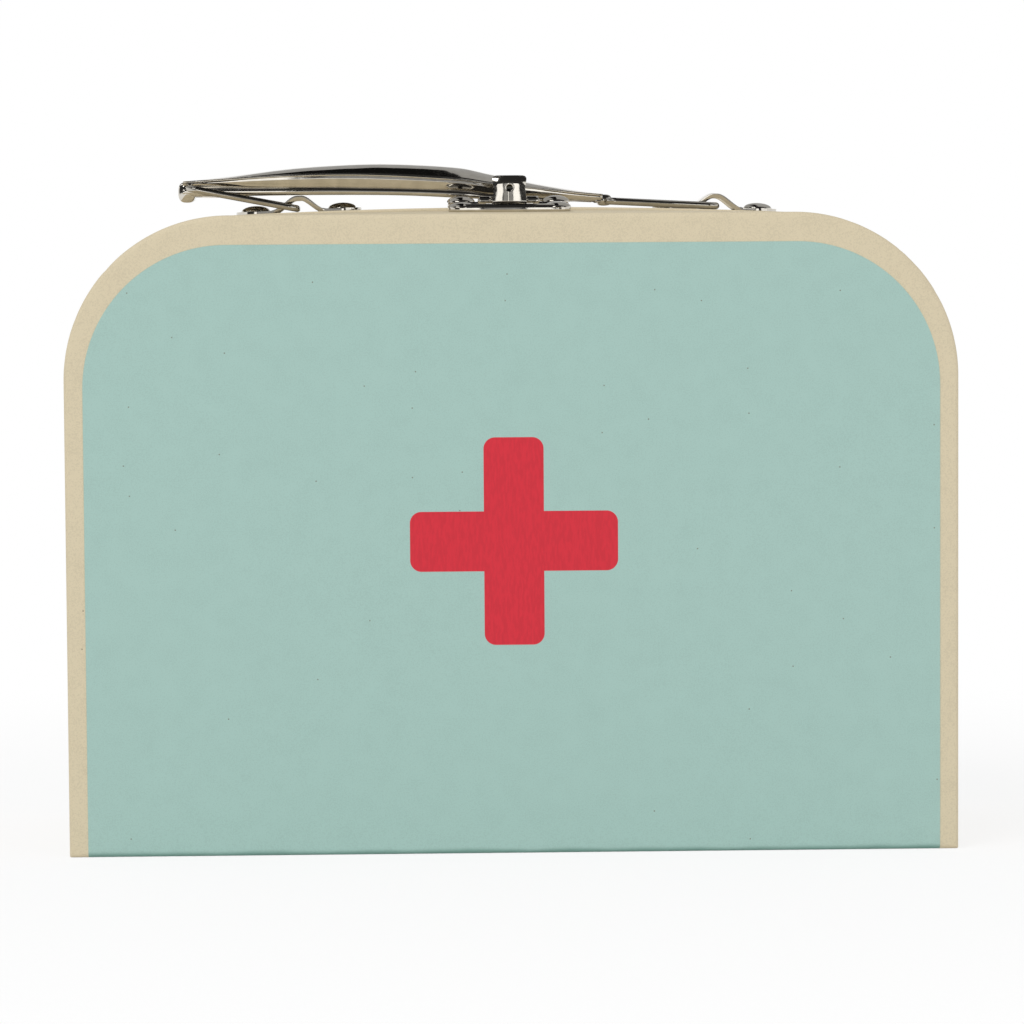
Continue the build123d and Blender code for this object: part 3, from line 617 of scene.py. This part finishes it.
def wall_paper(name, body, face_y, rim_y, face_bow, rim_bow, stands_for):
    """The strip's rows, from under the coloured sheet over the wall to the inside of the rim."""
    inward = 1.0 if rim_y > face_y else -1.0
    points, rows = [], 0

    def add_row(loop, y, folds=0.0, flat=0.0):
        nonlocal rows
        for x, z, fold in loop:
            less = fold * folds * pucker(x, z, inward)
            out = Vector((x - math.copysign(min(abs(x), CORNER_X), x), 0, z - min(z, CORNER_Z)))
            push = -less * out.normalized() if out.length > 1 else Vector()
            points.append((x + push.x, y - inward * flat * rising(z) * swell(x, z, inward), z + push.z))
        rows += 1

    def bow_at(y):
        return face_bow + (rim_bow - face_bow) * (y - face_y) / (rim_y - face_y)

    inner, outer = sheet_outline(TURN_UNDER), outline(EDGE_R, face_bow)
    for share in steps_between(0.0, 1.0, 5)[:-1]:
        mixed = [(a[0] + (b[0] - a[0]) * share, a[1] + (b[1] - a[1]) * share, b[2])
                 for a, b in zip(inner, outer)]
        add_row(mixed, face_y, 0.4 * share, 1.0 - share)
    for turn in quarter(6):
        y = face_y + inward * EDGE_R * (1 - math.cos(turn))
        add_row(outline(EDGE_R * (1 - math.sin(turn)), bow_at(y)), y, 1.0)
    for share in steps_between(0.0, 1.0, 10)[1:-1]:
        y = face_y + (rim_y - face_y) * share
        add_row(outline(0.0, bow_at(y)), y, max(0.0, 1.0 - 2.4 * share))
    for turn in quarter(4):
        y = rim_y - inward * RIM_R * (1 - math.sin(turn))
        add_row(outline(RIM_R * (1 - math.cos(turn)), bow_at(y)), y)
    add_row(outline(WALL, rim_bow), rim_y)
    add_piece(name, body, cream_paper, points,
              between_rows(rows, len(points) // rows), inner=(0, (face_y + rim_y) / 2, 90),
              thick=PAPER, stands_for=stands_for)


wall_paper("lid_wall_cover", "lid", FRONT_Y, SEAM_Y, FRONT_BOW, LID_BOW, ["lid_wall_paper"])
wall_paper("base_wall_cover", "base", BACK_Y, SEAM_Y, BASE_BOW, BASE_BOW, ["base_wall_paper"])

# %% The coloured sheet: over the face, round the foot and under it to the seam
SHEET_PROUD = 0.08


def coloured_sheet(name, body, finish, face_y, rim_y, stands_for):
    """The sheet's path (y, z, half width), from the seam under the foot and up the face."""
    inward = 1.0 if rim_y > face_y else -1.0
    path = [(rim_y, WALL, SHEET_HALF)]
    for turn in quarter(3):
        path.append((rim_y - inward * RIM_R * (1 - math.cos(turn)), RIM_R * (1 - math.sin(turn)),
                     SHEET_HALF))
    path += [(y, 0.0, SHEET_HALF) for y in steps_between(rim_y - inward * 2, face_y + inward * EDGE_R, 8)]
    for turn in quarter(6)[1:]:
        path.append((face_y + inward * EDGE_R * (1 - math.sin(turn)), EDGE_R * (1 - math.cos(turn)),
                     SHEET_HALF))
    path += [(face_y, z, SHEET_HALF) for z in steps_between(EDGE_R + 1, SHEET_TOP - SHEET_R, 34)]
    for turn in quarter(30)[1:]:
        path.append((face_y, SHEET_TOP - SHEET_R + SHEET_R * math.sin(turn),
                     SHEET_HALF - SHEET_R + SHEET_R * math.cos(turn)))
    points = []
    columns = steps_between(-1.0, 1.0, 56)
    for y, z, half in path:
        for share in columns:
            x = half * share
            out = SHEET_PROUD * min(1.0, z / EDGE_R) + rising(z) * swell(x, z, inward)
            points.append((x, y - inward * out, z))
    add_piece(name, body, finish, points,
              between_rows(len(path), len(columns)), inner=(0, (face_y + rim_y) / 2, 60),
              thick=PAPER, stands_for=stands_for)


coloured_sheet("lid_mint_sheet", "lid", front_paper, FRONT_Y, SEAM_Y,
               ["lid_front_paper", "lid_bottom_paper"])
coloured_sheet("base_mint_sheet", "base", mint_paper, BACK_Y, SEAM_Y,
               ["base_back_paper", "base_bottom_paper"])

# %% [markdown]
# ## The handle's brackets
# Each bracket is a strip of sheet with round ends and a hump pressed up in its middle, where the
# ring's bar lies.  The rows of its grid run across the strip; the hump is one smooth rise and
# fall, so reflections slide over it without a break.

# %% Places on the top wall
HANDLE_Y = SEAM_Y + 18.5
BRACKET_X = 60.0           # from the middle to each bracket
METAL_SHEET = 0.8


def wall_height(x, bow):
    """The height of the top wall above the ground at x."""
    radius = top_radius(bow)
    return HEIGHT + bow - radius + math.sqrt(radius ** 2 - x ** 2)


def lid_height(x, y):
    return wall_height(x, FRONT_BOW + (LID_BOW - FRONT_BOW) * (y - FRONT_Y) / (SEAM_Y - FRONT_Y))


def smooth(value, low, high):
    """0 at low, 1 at high and an even S between."""
    share = min(1.0, max(0.0, (value - low) / (high - low)))
    return share * share * (3 - 2 * share)


print("the wall's top is", round(wall_height(0.0, BASE_BOW), 2), "mm above the ground")


# %% The two brackets
HUMP_HEIGHT, HUMP_TOP, HUMP_FOOT, BRACKET_THICK = 4.0, 0.6, 8.2, 1.30
BRACKET_HALF, BRACKET_END_R, DISH = 18.0, 6.0, 0.25
ACROSS = [math.sin(turn) for turn in steps_between(-math.pi / 2, math.pi / 2, 14)]


def bracket(name, side, stands_for):
    """A strip along the wall, with its rows from one round end over the hump to the other."""
    straight = BRACKET_HALF - BRACKET_END_R
    ends = [(straight + BRACKET_END_R * math.sin(turn), BRACKET_END_R * math.cos(turn))
            for turn in quarter(10)]
    rows = [(-x, half) for x, half in reversed(ends)]
    rows += [(x, BRACKET_END_R) for x in steps_between(-straight, straight, 60)[1:-1]]
    rows += ends
    points = []
    for x, half in rows:
        hump = HUMP_HEIGHT * (1 - smooth(abs(x), HUMP_TOP, HUMP_FOOT))
        for share in ACROSS:
            along = side * BRACKET_X + x
            dish = DISH * share ** 4 if hump > 0.2 else 0.0
            points.append((along, HANDLE_Y + half * share,
                           wall_height(along, BASE_BOW) + METAL_SHEET + hump - dish))
    add_piece(name, "base", nickel, points, between_rows(len(rows), len(ACROSS)),
              inner=(side * BRACKET_X, HANDLE_Y, 120.0), thick=BRACKET_THICK, ease=0.3, steps=3,
              stands_for=stands_for)


bracket("left_bracket", -1, ["left_handle_bracket"])
bracket("right_bracket", 1, ["right_handle_bracket"])

# %% [markdown]
# ## The wire rings
# A ring is one length of wire bent into a long loop with round corners.  A circle of points is
# carried round that loop; a curve with a bevel would do the same, but this way every ring of
# points is known, and the bends get exactly as many as they need.

# %% A closed loop of wire
WIRE_R, WIRE_POINTS = 1.0, 22
RING_LENGTH, RING_HALF_WIDTH, BEND_R = 31.3, 8.85, 2.5


def ring(name, body, pivot, angle, stands_for):
    """A long loop from its pivot, tipped up at its far end by an angle in degrees."""
    tip = math.radians(angle)
    lengthwise = Vector((-math.cos(tip), 0.0, math.sin(tip)))
    sideways = Vector((0.0, 1.0, 0.0))
    normal = lengthwise.cross(sideways)
    path = []
    for corner, (along, across) in enumerate([(1, 1), (0, 1), (0, -1), (1, -1)]):
        centre = (along * (RING_LENGTH - 2 * BEND_R) + BEND_R, across * (RING_HALF_WIDTH - BEND_R))
        for turn in quarter(8):
            swing = math.pi / 2 * corner + turn
            path.append((centre[0] + BEND_R * math.cos(swing), centre[1] + BEND_R * math.sin(swing),
                         math.cos(swing), math.sin(swing)))
    points = []
    for along, across, out_x, out_y in path:
        middle = Vector(pivot) + lengthwise * along + sideways * across
        outward = lengthwise * out_x + sideways * out_y
        for turn in full_turn(WIRE_POINTS):
            points.append(middle + WIRE_R * (outward * math.cos(turn) + normal * math.sin(turn)))
    around = between_rows(len(path), WIRE_POINTS, loop=True)
    last = (len(path) - 1) * WIRE_POINTS
    around += [(last + point, last + (point + 1) % WIRE_POINTS, (point + 1) % WIRE_POINTS, point)
               for point in range(WIRE_POINTS)]
    add_piece(name, body, shaded_wire_nickel, points, around, sharp=80,
              stands_for=stands_for)


LEFT_PIVOT, RIGHT_PIVOT = (-60.6, HANDLE_Y, 181.35), (60.0, HANDLE_Y, 181.32)
LEFT_TIP, RIGHT_TIP = 10.9, 3.0
ring("left_wire", "ring_left", LEFT_PIVOT, LEFT_TIP, ["left_ring"])
ring("right_wire", "ring_right", RIGHT_PIVOT, RIGHT_TIP, ["right_ring"])

# %% [markdown]
# ## The grip
# The grip is stamped from one strip: a domed crown, a fine bead along each side, a wall that
# leans in below it, and a rolled hem.  Its two ends are curled round the bars of the rings.  The
# heights along the grip come from a short table for each line, joined by a smooth curve.

# %% Lines along the grip: share of half its length, and height above the line of its eyes
CROWN = [(-1.06, 2.5), (-0.85, 4.0), (-0.53, 6.7), (-0.28, 8.0), (-0.05, 8.5), (0.29, 7.7), (0.45, 5.9),
         (0.62, 3.9), (0.82, 2.0), (0.98, 0.9)]
BEAD = [(-1.06, 2.2), (-0.97, 2.6), (-0.54, 4.5), (-0.18, 5.2), (0.29, 4.2), (0.45, 3.1), (0.63, 2.2),
        (0.82, 1.1), (0.98, 0.25)]
FOLD = [(-1.06, 0.9), (-0.92, 1.2), (-0.72, 1.1), (-0.43, 1.4), (-0.28, 1.5), (0.29, 1.1), (0.45, 0.1),
        (0.81, -1.0), (0.98, -1.3)]
HEM = [(-1.06, -1.6), (-0.92, -1.8), (-0.72, -1.3), (-0.42, -0.8), (-0.1, -0.5), (0.1, -0.6), (0.29, -1.0),
       (0.62, -1.5), (0.98, -1.65)]
LEFT_EYE, RIGHT_EYE = Vector((-90.99, HANDLE_Y, 186.62)), Vector((28.26, HANDLE_Y, 184.21))
GRIP_MID, GRIP_END, GRIP_THICK = 9.5, 6.25, 0.5
GRIP_INSIDE = (-31.4, HANDLE_Y, 186.0)


def follow(table, share):
    """A smooth curve through a table of places and heights."""
    spots = [spot for spot, _ in table]
    at = max(1, min(len(table) - 2, sum(spot <= share for spot in spots)))
    low = max(0, at - 1)
    (x0, y0), (x1, y1) = table[low], table[low + 1]
    before = table[max(0, low - 1)]
    after = table[min(len(table) - 1, low + 2)]
    step = x1 - x0
    start = (y1 - before[1]) / (x1 - before[0]) * step
    stop = (after[1] - y0) / (after[0] - x0) * step
    part = (share - x0) / step
    return ((2 * part ** 3 - 3 * part ** 2 + 1) * y0 + (part ** 3 - 2 * part ** 2 + part) * start
            + (3 * part ** 2 - 2 * part ** 3) * y1 + (part ** 3 - part ** 2) * stop)


# %% The grip's section at one place
CROWN_SHARE, CROWN_EDGE = 0.93, 0.25        # the crown's share of the width, and its rise off the bead
BEAD_R, BEAD_FLAT, BELOW_BEAD = 0.36, 0.9, 0.45
WALL_SHARE, LEAN, FOLD_SHARE = 0.985, 0.085, 0.875
HEM_WIDE, HEM_TALL = 0.34, 0.46             # as shares of the hem's height
HEM_END = [(0.81, 0.25), (0.78, 0.6)]       # the rolled hem's last points: share of width, height


def arc(start, stop, count):
    """Angles in radians between two in degrees."""
    return steps_between(math.radians(start), math.radians(stop), count)


def grip_section(share):
    """Half of the strip, as (y, z) from the crown's middle to the end of the hem."""
    half = GRIP_MID - (GRIP_MID - GRIP_END) * min(1.0, abs(share)) ** 2
    crown, bead, fold, hem = (follow(table, share) for table in (CROWN, BEAD, FOLD, HEM))
    rise = max(crown - bead - CROWN_EDGE, 0.05)
    section = []
    for turn in quarter(14):
        section.append((CROWN_SHARE * half * math.sin(turn),
                        bead + CROWN_EDGE + rise * math.cos(turn) ** 1.35))
    for turn in arc(125, -75, 8):
        section.append((half - BEAD_R + BEAD_R * math.cos(turn),
                        bead + BEAD_R * math.sin(turn) * BEAD_FLAT))
    low = bead - BELOW_BEAD
    for part in steps_between(0.0, 1.0, 8)[1:]:
        section.append((half * (WALL_SHARE - LEAN * part ** 1.5), low + (fold + 0.2 - low) * part))
    section.append((half * FOLD_SHARE, fold))
    tall = fold - hem
    for turn in arc(70, -120, 8):
        section.append((half * FOLD_SHARE + HEM_WIDE * tall * math.cos(turn) - 0.05,
                        hem + tall * (0.5 + HEM_TALL * math.sin(turn))))
    return section + [(half * wide, hem + height) for wide, height in HEM_END]


print(len(grip_section(0.0)), "points from the crown to the hem")


def grip_place(share, y, z):
    """A point of the grip's own frame, set on the line between its two eyes."""
    along = (share + 1) / 2
    line = LEFT_EYE.lerp(RIGHT_EYE, along)
    up = (RIGHT_EYE - LEFT_EYE).cross(Vector((0, 1, 0))).normalized()
    return line + up * z + Vector((0, y, 0))


# %% The strip from end to end
grip_rows = steps_between(-1.035, 0.985, 130)        # a little past the eye at the left end
grip_points, grip_columns = [], 0
for share in grip_rows:
    section = grip_section(share)
    whole = [(-y, z) for y, z in reversed(section)] + section[1:]
    grip_columns = len(whole)
    grip_points += [grip_place(share, y, z) for y, z in whole]
add_piece("grip_strip", "grip", nickel, grip_points,
          between_rows(len(grip_rows), grip_columns), inner=GRIP_INSIDE, thick=GRIP_THICK, ease=0.12,
          sharp=75, stands_for=["handle_grip"])


# %% The curled ends, which hold the bars
CURL_EASE, CURL_DOME, CURL_POINTS, OBLONG = 0.6, 0.45, 44, 0.72


def curled_end(name, centre, half_x, half_z):
    """A closed loop of strip, seen from the side as a rounded oblong with softly domed ends."""
    side = [(CURL_EASE * (1 - math.cos(turn)), GRIP_END - CURL_DOME - CURL_EASE * (1 - math.sin(turn)))
            for turn in quarter(6)]
    side += [(CURL_EASE + (half_x - CURL_EASE) * part, GRIP_END - CURL_DOME * (1 - part) ** 2)
             for part in steps_between(0.0, 0.96, 8)[1:]]
    rows = [(less, -y) for less, y in reversed(side)] + side
    points = []
    for less, y in rows:
        share = 1 - less / half_x
        for spin in full_turn(CURL_POINTS):
            along, up = (math.copysign(abs(way) ** OBLONG, way) for way in (math.cos(spin), math.sin(spin)))
            points.append((centre[0] + half_x * share * along, centre[1] + y,
                           centre[2] + half_z * share * up))
    faces = closed_faces(len(rows), CURL_POINTS)
    add_piece(name, "grip", nickel, points, faces, sharp=70)


curled_end("left_curl", (-92.0, HANDLE_Y, 186.15), 2.45, 2.95)
curled_end("right_curl", (28.0, HANDLE_Y, 183.2), 2.0, 1.6)

# %% [markdown]
# ## The latch
# A plate on the lid and a folded plate on the base face each other across the seam.  The hasp is
# one strip: rolled round a pin, then a flat flap over the seam, then bent up as a thumb tab with
# a small dimple.  It is drawn as one long path, and its width changes along the way.

# %% The two plates
CATCH_Y, LATCH_Y = SEAM_Y - 10.0, SEAM_Y + 4.0
PLATE_HALF = 17.3
LIP_RISES = (26.3, 27.8)   # how far in front of the middle the lid plate's lip begins and is full


def oblong(belly, end):
    """A plate's outline (x, y) with round ends; its front may belly out."""
    straight = PLATE_HALF - end
    edge = [(x, end) for x in steps_between(-straight, straight, 30)]
    edge += [(straight + end * math.sin(turn), end * math.cos(turn))
             for turn in steps_between(0.0, math.pi, 14)[1:-1]]
    edge += [(x, -end - belly * (1 - (x / straight) ** 2))
             for x in steps_between(straight, -straight, 30)]
    edge += [(-straight - end * math.sin(turn), -end * math.cos(turn))
             for turn in steps_between(0.0, math.pi, 14)[1:-1]]
    return edge


def plate(name, body, centre_y, edge, height, profile, stands_for, lip=0.0):
    """A plate whose edge follows a profile of (inset, rise) steps up to its top, with a front lip."""
    points, count = [], len(edge)
    for inset, rise in profile:
        for spot in range(count):
            (x0, y0), (x, y), (x1, y1) = edge[spot - 1], edge[spot], edge[(spot + 1) % count]
            inward = Vector((y1 - y0, x0 - x1)).normalized()
            x, y = x + inward.x * inset, centre_y + y + inward.y * inset
            points.append((x, y, height(x, y) + rise * (1 + lip * smooth(-y, *LIP_RISES))))
    add_piece(name, body, nickel, points, closed_faces(len(profile), count),
              sharp=60, stands_for=stands_for)


UNDERCUT, FLAT_RIM = 0.25, 0.5


def rounded(top, ease):
    """A plate's edge: turned under at the foot, round above."""
    low = [(UNDERCUT * (1 - math.sin(turn)), ease * 0.55 * (1 - math.cos(turn)))
           for turn in quarter(4)]
    high = [(ease * (1 - math.cos(turn)), top - ease * (1 - math.sin(turn)))
            for turn in quarter(7)]
    return low + high + [(ease + FLAT_RIM, top)]


plate("front_plate", "lid", CATCH_Y, oblong(1.0, 3.5), lid_height, rounded(1.7, 0.95), ["lid_catch_plate"],
      lip=0.32)
plate("rear_plate", "base", LATCH_Y, oblong(0.0, 4.0), lambda x, y: wall_height(x, BASE_BOW),
      rounded(1.6, 0.7), ["latch_base_plate"])

# %% Strips rolled round the pin
PIN_Y, PIN_Z, ROLL_R, STRIP, STRIP_EASE = -16.7, 183.1, 1.3, 0.6, 0.16
FLAP_Z = PIN_Z - ROLL_R
KNUCKLE_X, KNUCKLE_HALF, KNUCKLE_REACH = 6.7, 1.7, 4.0


def rolled_path(way, reach):
    """The strip's outer line: round the pin, then off level to one side, as (y, z)."""
    path = []
    for turn in arc(215, -90, 26):
        path.append((PIN_Y - way * ROLL_R * math.cos(turn), PIN_Z + ROLL_R * math.sin(turn)))
    path += [(PIN_Y + way * away, FLAP_Z) for away in steps_between(0.0, reach, 6)[1:]]
    return path


for number, side in enumerate((-1, 1)):
    path = rolled_path(1, KNUCKLE_REACH)
    points = [(side * KNUCKLE_X + KNUCKLE_HALF * share, y, z)
              for y, z in path for share in (-1, -0.5, 0, 0.5, 1)]
    add_piece(f"rear_knuckle_{number + 1}", "base", nickel, points,
              between_rows(len(path), 5), inner=(side * KNUCKLE_X, PIN_Y, PIN_Z), thick=STRIP,
              ease=STRIP_EASE, steps=3)

# %% The hasp's path: knuckle, flap and thumb tab, as (y, z, half width)
TAB_Y, TAB_TOP, BEND = PIN_Y - 9.3, 190.2, 1.1
KNUCKLE_WIDE, FLAP_MORE, FLAP_LESS, TAB_WIDE = 4.7, 2.1, 2.0, 4.8      # half widths, and changes of them
FLAP_WIDENS, FLAP_NARROWS = (17.9, 19.6), (22.8, 24.7)      # how far in front of the middle
TAB_WAIST, TAB_FLARE, TAB_ROUND = 0.35, 0.45, 1.2
flap_front = TAB_Y + BEND
hasp_path = [(y, z, KNUCKLE_WIDE) for y, z in rolled_path(-1, 1.0)]
for y in steps_between(-18.0, flap_front, 12):
    hasp_path.append((y, FLAP_Z, KNUCKLE_WIDE + FLAP_MORE * smooth(-y, *FLAP_WIDENS)
                      - FLAP_LESS * smooth(-y, *FLAP_NARROWS)))
for turn in quarter(8)[1:]:
    hasp_path.append((flap_front - BEND * math.sin(turn), FLAP_Z + BEND * (1 - math.cos(turn)), TAB_WIDE))
for share in steps_between(0.0, 1.0, 34)[1:]:
    z = FLAP_Z + BEND + (TAB_TOP - FLAP_Z - BEND) * share
    half = TAB_WIDE - TAB_WAIST * smooth(share, 0.0, 0.5) + TAB_FLARE * smooth(share, 0.45, 0.98)
    corner = max(0.0, z - (TAB_TOP - TAB_ROUND))
    half -= TAB_ROUND - math.sqrt(max(0.0, TAB_ROUND ** 2 - corner ** 2))
    hasp_path.append((TAB_Y, z, half))
print(len(hasp_path), "rows from the knuckle to the tab's top")

# %% The tab's dimple, with painted shade
DIMPLE_Z, DIMPLE_R, DIMPLE_SOFT = 186.7, 1.05, 0.6
# The dark spot in the dimple is painted shade, laid over the nickel's own colour.
DIMPLE_SHADE_FROM, DIMPLE_SHADE_TO, DIMPLE_SHADE = 0.8 * MM, 1.15 * MM, (0.05, 0.05, 0.045)
mark_x, mark_y, mark_z = dimple_shaded_nickel.axes()
reach = (mark_x ** 2.0 + (mark_z - DIMPLE_Z * MM) ** 2.0) ** 0.5
painted_dimple_shade = (1.0 - reach.between(DIMPLE_SHADE_FROM, DIMPLE_SHADE_TO)) * (mark_y < (TAB_Y + 2.0) * MM)
plated_colour = Flow(dimple_shaded_nickel, dimple_shaded_nickel.shader.inputs["Base Color"].links[0].from_socket)
dimple_shaded_nickel.paint(Base_Color=dimple_shaded_nickel.tint(painted_dimple_shade, plated_colour, DIMPLE_SHADE))

# %% The hasp
TAB_ACROSS = [math.sin(turn) for turn in steps_between(-math.pi / 2, math.pi / 2, 48)]
BELLY, GROOVE, GROOVE_HALF = 0.52, 0.05, 0.3
SCOOP, SCOOP_FROM, SCOOP_TO, SCOOP_SIDES = 0.75, 187.6, TAB_TOP + 0.9, 0.5
DENT = 0.55


def tab_relief(x, z, share, upright):
    """How far back from its flat the tab lies: a belly with a groove, a scooped top and a dent."""
    belly = BELLY * (1 - share ** 2) - GROOVE * math.exp(-(x / GROOVE_HALF) ** 2)
    scoop = SCOOP * smooth(z + SCOOP_SIDES * share ** 2, SCOOP_FROM, SCOOP_TO)
    dent = DENT * smooth(DIMPLE_R - math.hypot(x, z - DIMPLE_Z), 0.0, DIMPLE_SOFT)
    return upright * (scoop + dent - belly)


hasp_points = []
for y, z, half in hasp_path:
    upright = smooth(z, FLAP_Z + 0.1, FLAP_Z + BEND) if y < flap_front + 0.01 else 0.0
    hasp_points += [(half * share, y + tab_relief(half * share, z, share, upright), z)
                    for share in TAB_ACROSS]
add_piece("hasp", "hasp", dimple_shaded_nickel, hasp_points,
          between_rows(len(hasp_path), len(TAB_ACROSS)), inner=(0, TAB_Y + 5.0, 186.0), thick=STRIP,
          ease=STRIP_EASE, steps=3, sharp=70, stands_for=["hasp_flap"])

# %% The pin, a rod with domed ends
PIN_HALF, PIN_R, PIN_DOME, PIN_POINTS = 8.6, 0.6, 0.25, 20
pin_rows = [(-PIN_HALF - PIN_DOME * math.cos(turn), PIN_R * math.sin(turn))
            for turn in quarter(4)]
pin_rows += [(-x, radius) for x, radius in reversed(pin_rows)]
pin_points = [(x, PIN_Y + radius * math.cos(turn), PIN_Z + radius * math.sin(turn))
              for x, radius in pin_rows for turn in full_turn(PIN_POINTS)]
add_piece("hinge_pin", "base", nickel, pin_points,
          between_rows(len(pin_rows), PIN_POINTS, loop=True), stands_for=["latch_pin"])

# %% [markdown]
# ## The rivets
# Eight tubular rivets hold the fittings.  They repeat, so Geometry Nodes make them: points carry
# each rivet's place and lean, and the tree sets one head, shank and tail on every point.  The
# sizes are inputs of the tree, so one tree serves all three groups.

# %% The rivet tree
RIVET_INPUTS = {"Head Radius": 3.5, "Head Height": 1.3, "Seat": 0.8, "Shank Radius": 1.5,
                "Grip Depth": 2.4, "Tail Radius": 2.2, "Tail Height": 0.5}
WASHER = 0.6 * MM


def dome(graph, radius, height, foot, upward):
    """A ball flattened into a dome that stands on its foot, or hangs from it."""
    ball = graph.node("GeometryNodeMeshUVSphere", Segments=40, Rings=20, Radius=1.0)
    apart = graph.node("ShaderNodeSeparateXYZ", None, graph.node("GeometryNodeInputPosition"))
    x, y, z = (apart.other(axis) for axis in range(3))
    kept = z | 0.0 if upward else z & 0.0
    bent = graph.node("ShaderNodeCombineXYZ", None, x * radius, y * radius, kept * height + foot)
    return graph.node("GeometryNodeSetPosition", Geometry=ball, Position=bent)


def rivet_tree():
    """A Geometry Nodes tree that sets a rivet on every point."""
    group = bpy.data.node_groups.new("rivets", "GeometryNodeTree")
    ask = group.interface.new_socket
    ask("Points", in_out="INPUT", socket_type="NodeSocketGeometry")
    for name, value in RIVET_INPUTS.items():
        ask(name, in_out="INPUT", socket_type="NodeSocketFloat").default_value = value * MM
    ask("Material", in_out="INPUT", socket_type="NodeSocketMaterial")
    ask("Rivets", in_out="OUTPUT", socket_type="NodeSocketGeometry")

    graph = Graph(group)
    given = graph.node("NodeGroupInput")
    size = {name: given.other(name) for name in RIVET_INPUTS}
    tail_top = size["Grip Depth"] * -1.0 - WASHER
    head = dome(graph, size["Head Radius"], size["Head Height"], size["Seat"], True)
    tail = dome(graph, size["Tail Radius"], size["Tail Height"], tail_top, False)
    rod = graph.node("GeometryNodeMeshCylinder", Vertices=24, Radius=size["Shank Radius"],
                     Depth=size["Seat"] - tail_top)
    middle = graph.node("ShaderNodeCombineXYZ", Z=(size["Seat"] + tail_top) * 0.5)
    shank = graph.node("GeometryNodeTransform", Geometry=rod, Translation=middle)
    rivet = graph.node("GeometryNodeJoinGeometry", None, [head, tail, shank])
    lean = graph.node("GeometryNodeInputNamedAttribute", {"data_type": "FLOAT_VECTOR"}, Name="lean")
    placed = graph.node("GeometryNodeInstanceOnPoints", Points=given, Instance=rivet,
                        Rotation=graph.node("FunctionNodeEulerToRotation", None, lean))
    real = graph.node("GeometryNodeRealizeInstances", None, placed)
    graph.node("NodeGroupOutput", None, graph.node("GeometryNodeSetMaterial", Geometry=real,
                                                   Material=given.other("Material")))
    return group


RIVETS = rivet_tree()
print("the rivet tree has", len(RIVETS.nodes), "nodes")


# %% Three groups of rivets
def rivets(name, body, places, stands_for, **sizes):
    """Sets rivets at places (x, y, z, lean along x, lean along y), in millimetres and radians."""
    mesh = bpy.data.meshes.new(name)
    mesh.from_pydata([Vector(place[:3]) * MM for place in places], [], [])
    lean = mesh.attributes.new("lean", "FLOAT_VECTOR", "POINT")
    for entry, place in zip(lean.data, places):
        entry.vector = (place[4], place[3], 0.0)
    holder = bpy.data.objects.new(name, mesh)
    bpy.context.scene.collection.objects.link(holder)
    setter = holder.modifiers.new("rivets", "NODES")
    setter.node_group = RIVETS
    chosen = {"Material": nickel.material}
    chosen.update({size.replace("_", " "): value * MM for size, value in sizes.items()})
    for socket in RIVETS.interface.items_tree:
        if socket.in_out == "INPUT" and socket.name in chosen:
            setter[socket.identifier] = chosen[socket.name]
    settle(holder, body, nickel, 60.0, stands_for)


def base_spot(x, y):
    return (x, y, wall_height(x, BASE_BOW), math.asin(x / top_radius(BASE_BOW)), 0.0)


HANDLE_RIVET_X, LATCH_RIVET_X = 12.5, 13.5
rivets("handle_rivet_heads", "base", [base_spot(BRACKET_X * side + HANDLE_RIVET_X * end, HANDLE_Y)
                                      for side in (-1, 1) for end in (-1, 1)],
       ["handle_rivets"], Seat=0.8, Grip_Depth=2.4, Head_Radius=4.1, Head_Height=1.6)
rivets("rear_plate_rivets", "base", [base_spot(LATCH_RIVET_X * side, LATCH_Y) for side in (-1, 1)],
       ["latch_base_rivets"], Seat=1.5, Grip_Depth=5.1, Head_Radius=4.0, Head_Height=1.9)
slope = math.atan2(LID_BOW - FRONT_BOW, SEAM_Y - FRONT_Y)
rivets("front_plate_rivets", "lid",
       [(LATCH_RIVET_X * side, CATCH_Y, lid_height(LATCH_RIVET_X, CATCH_Y), 0.0, slope)
        for side in (-1, 1)],
       ["lid_catch_rivets"], Seat=1.2, Grip_Depth=2.4, Head_Radius=3.9, Head_Height=1.6)
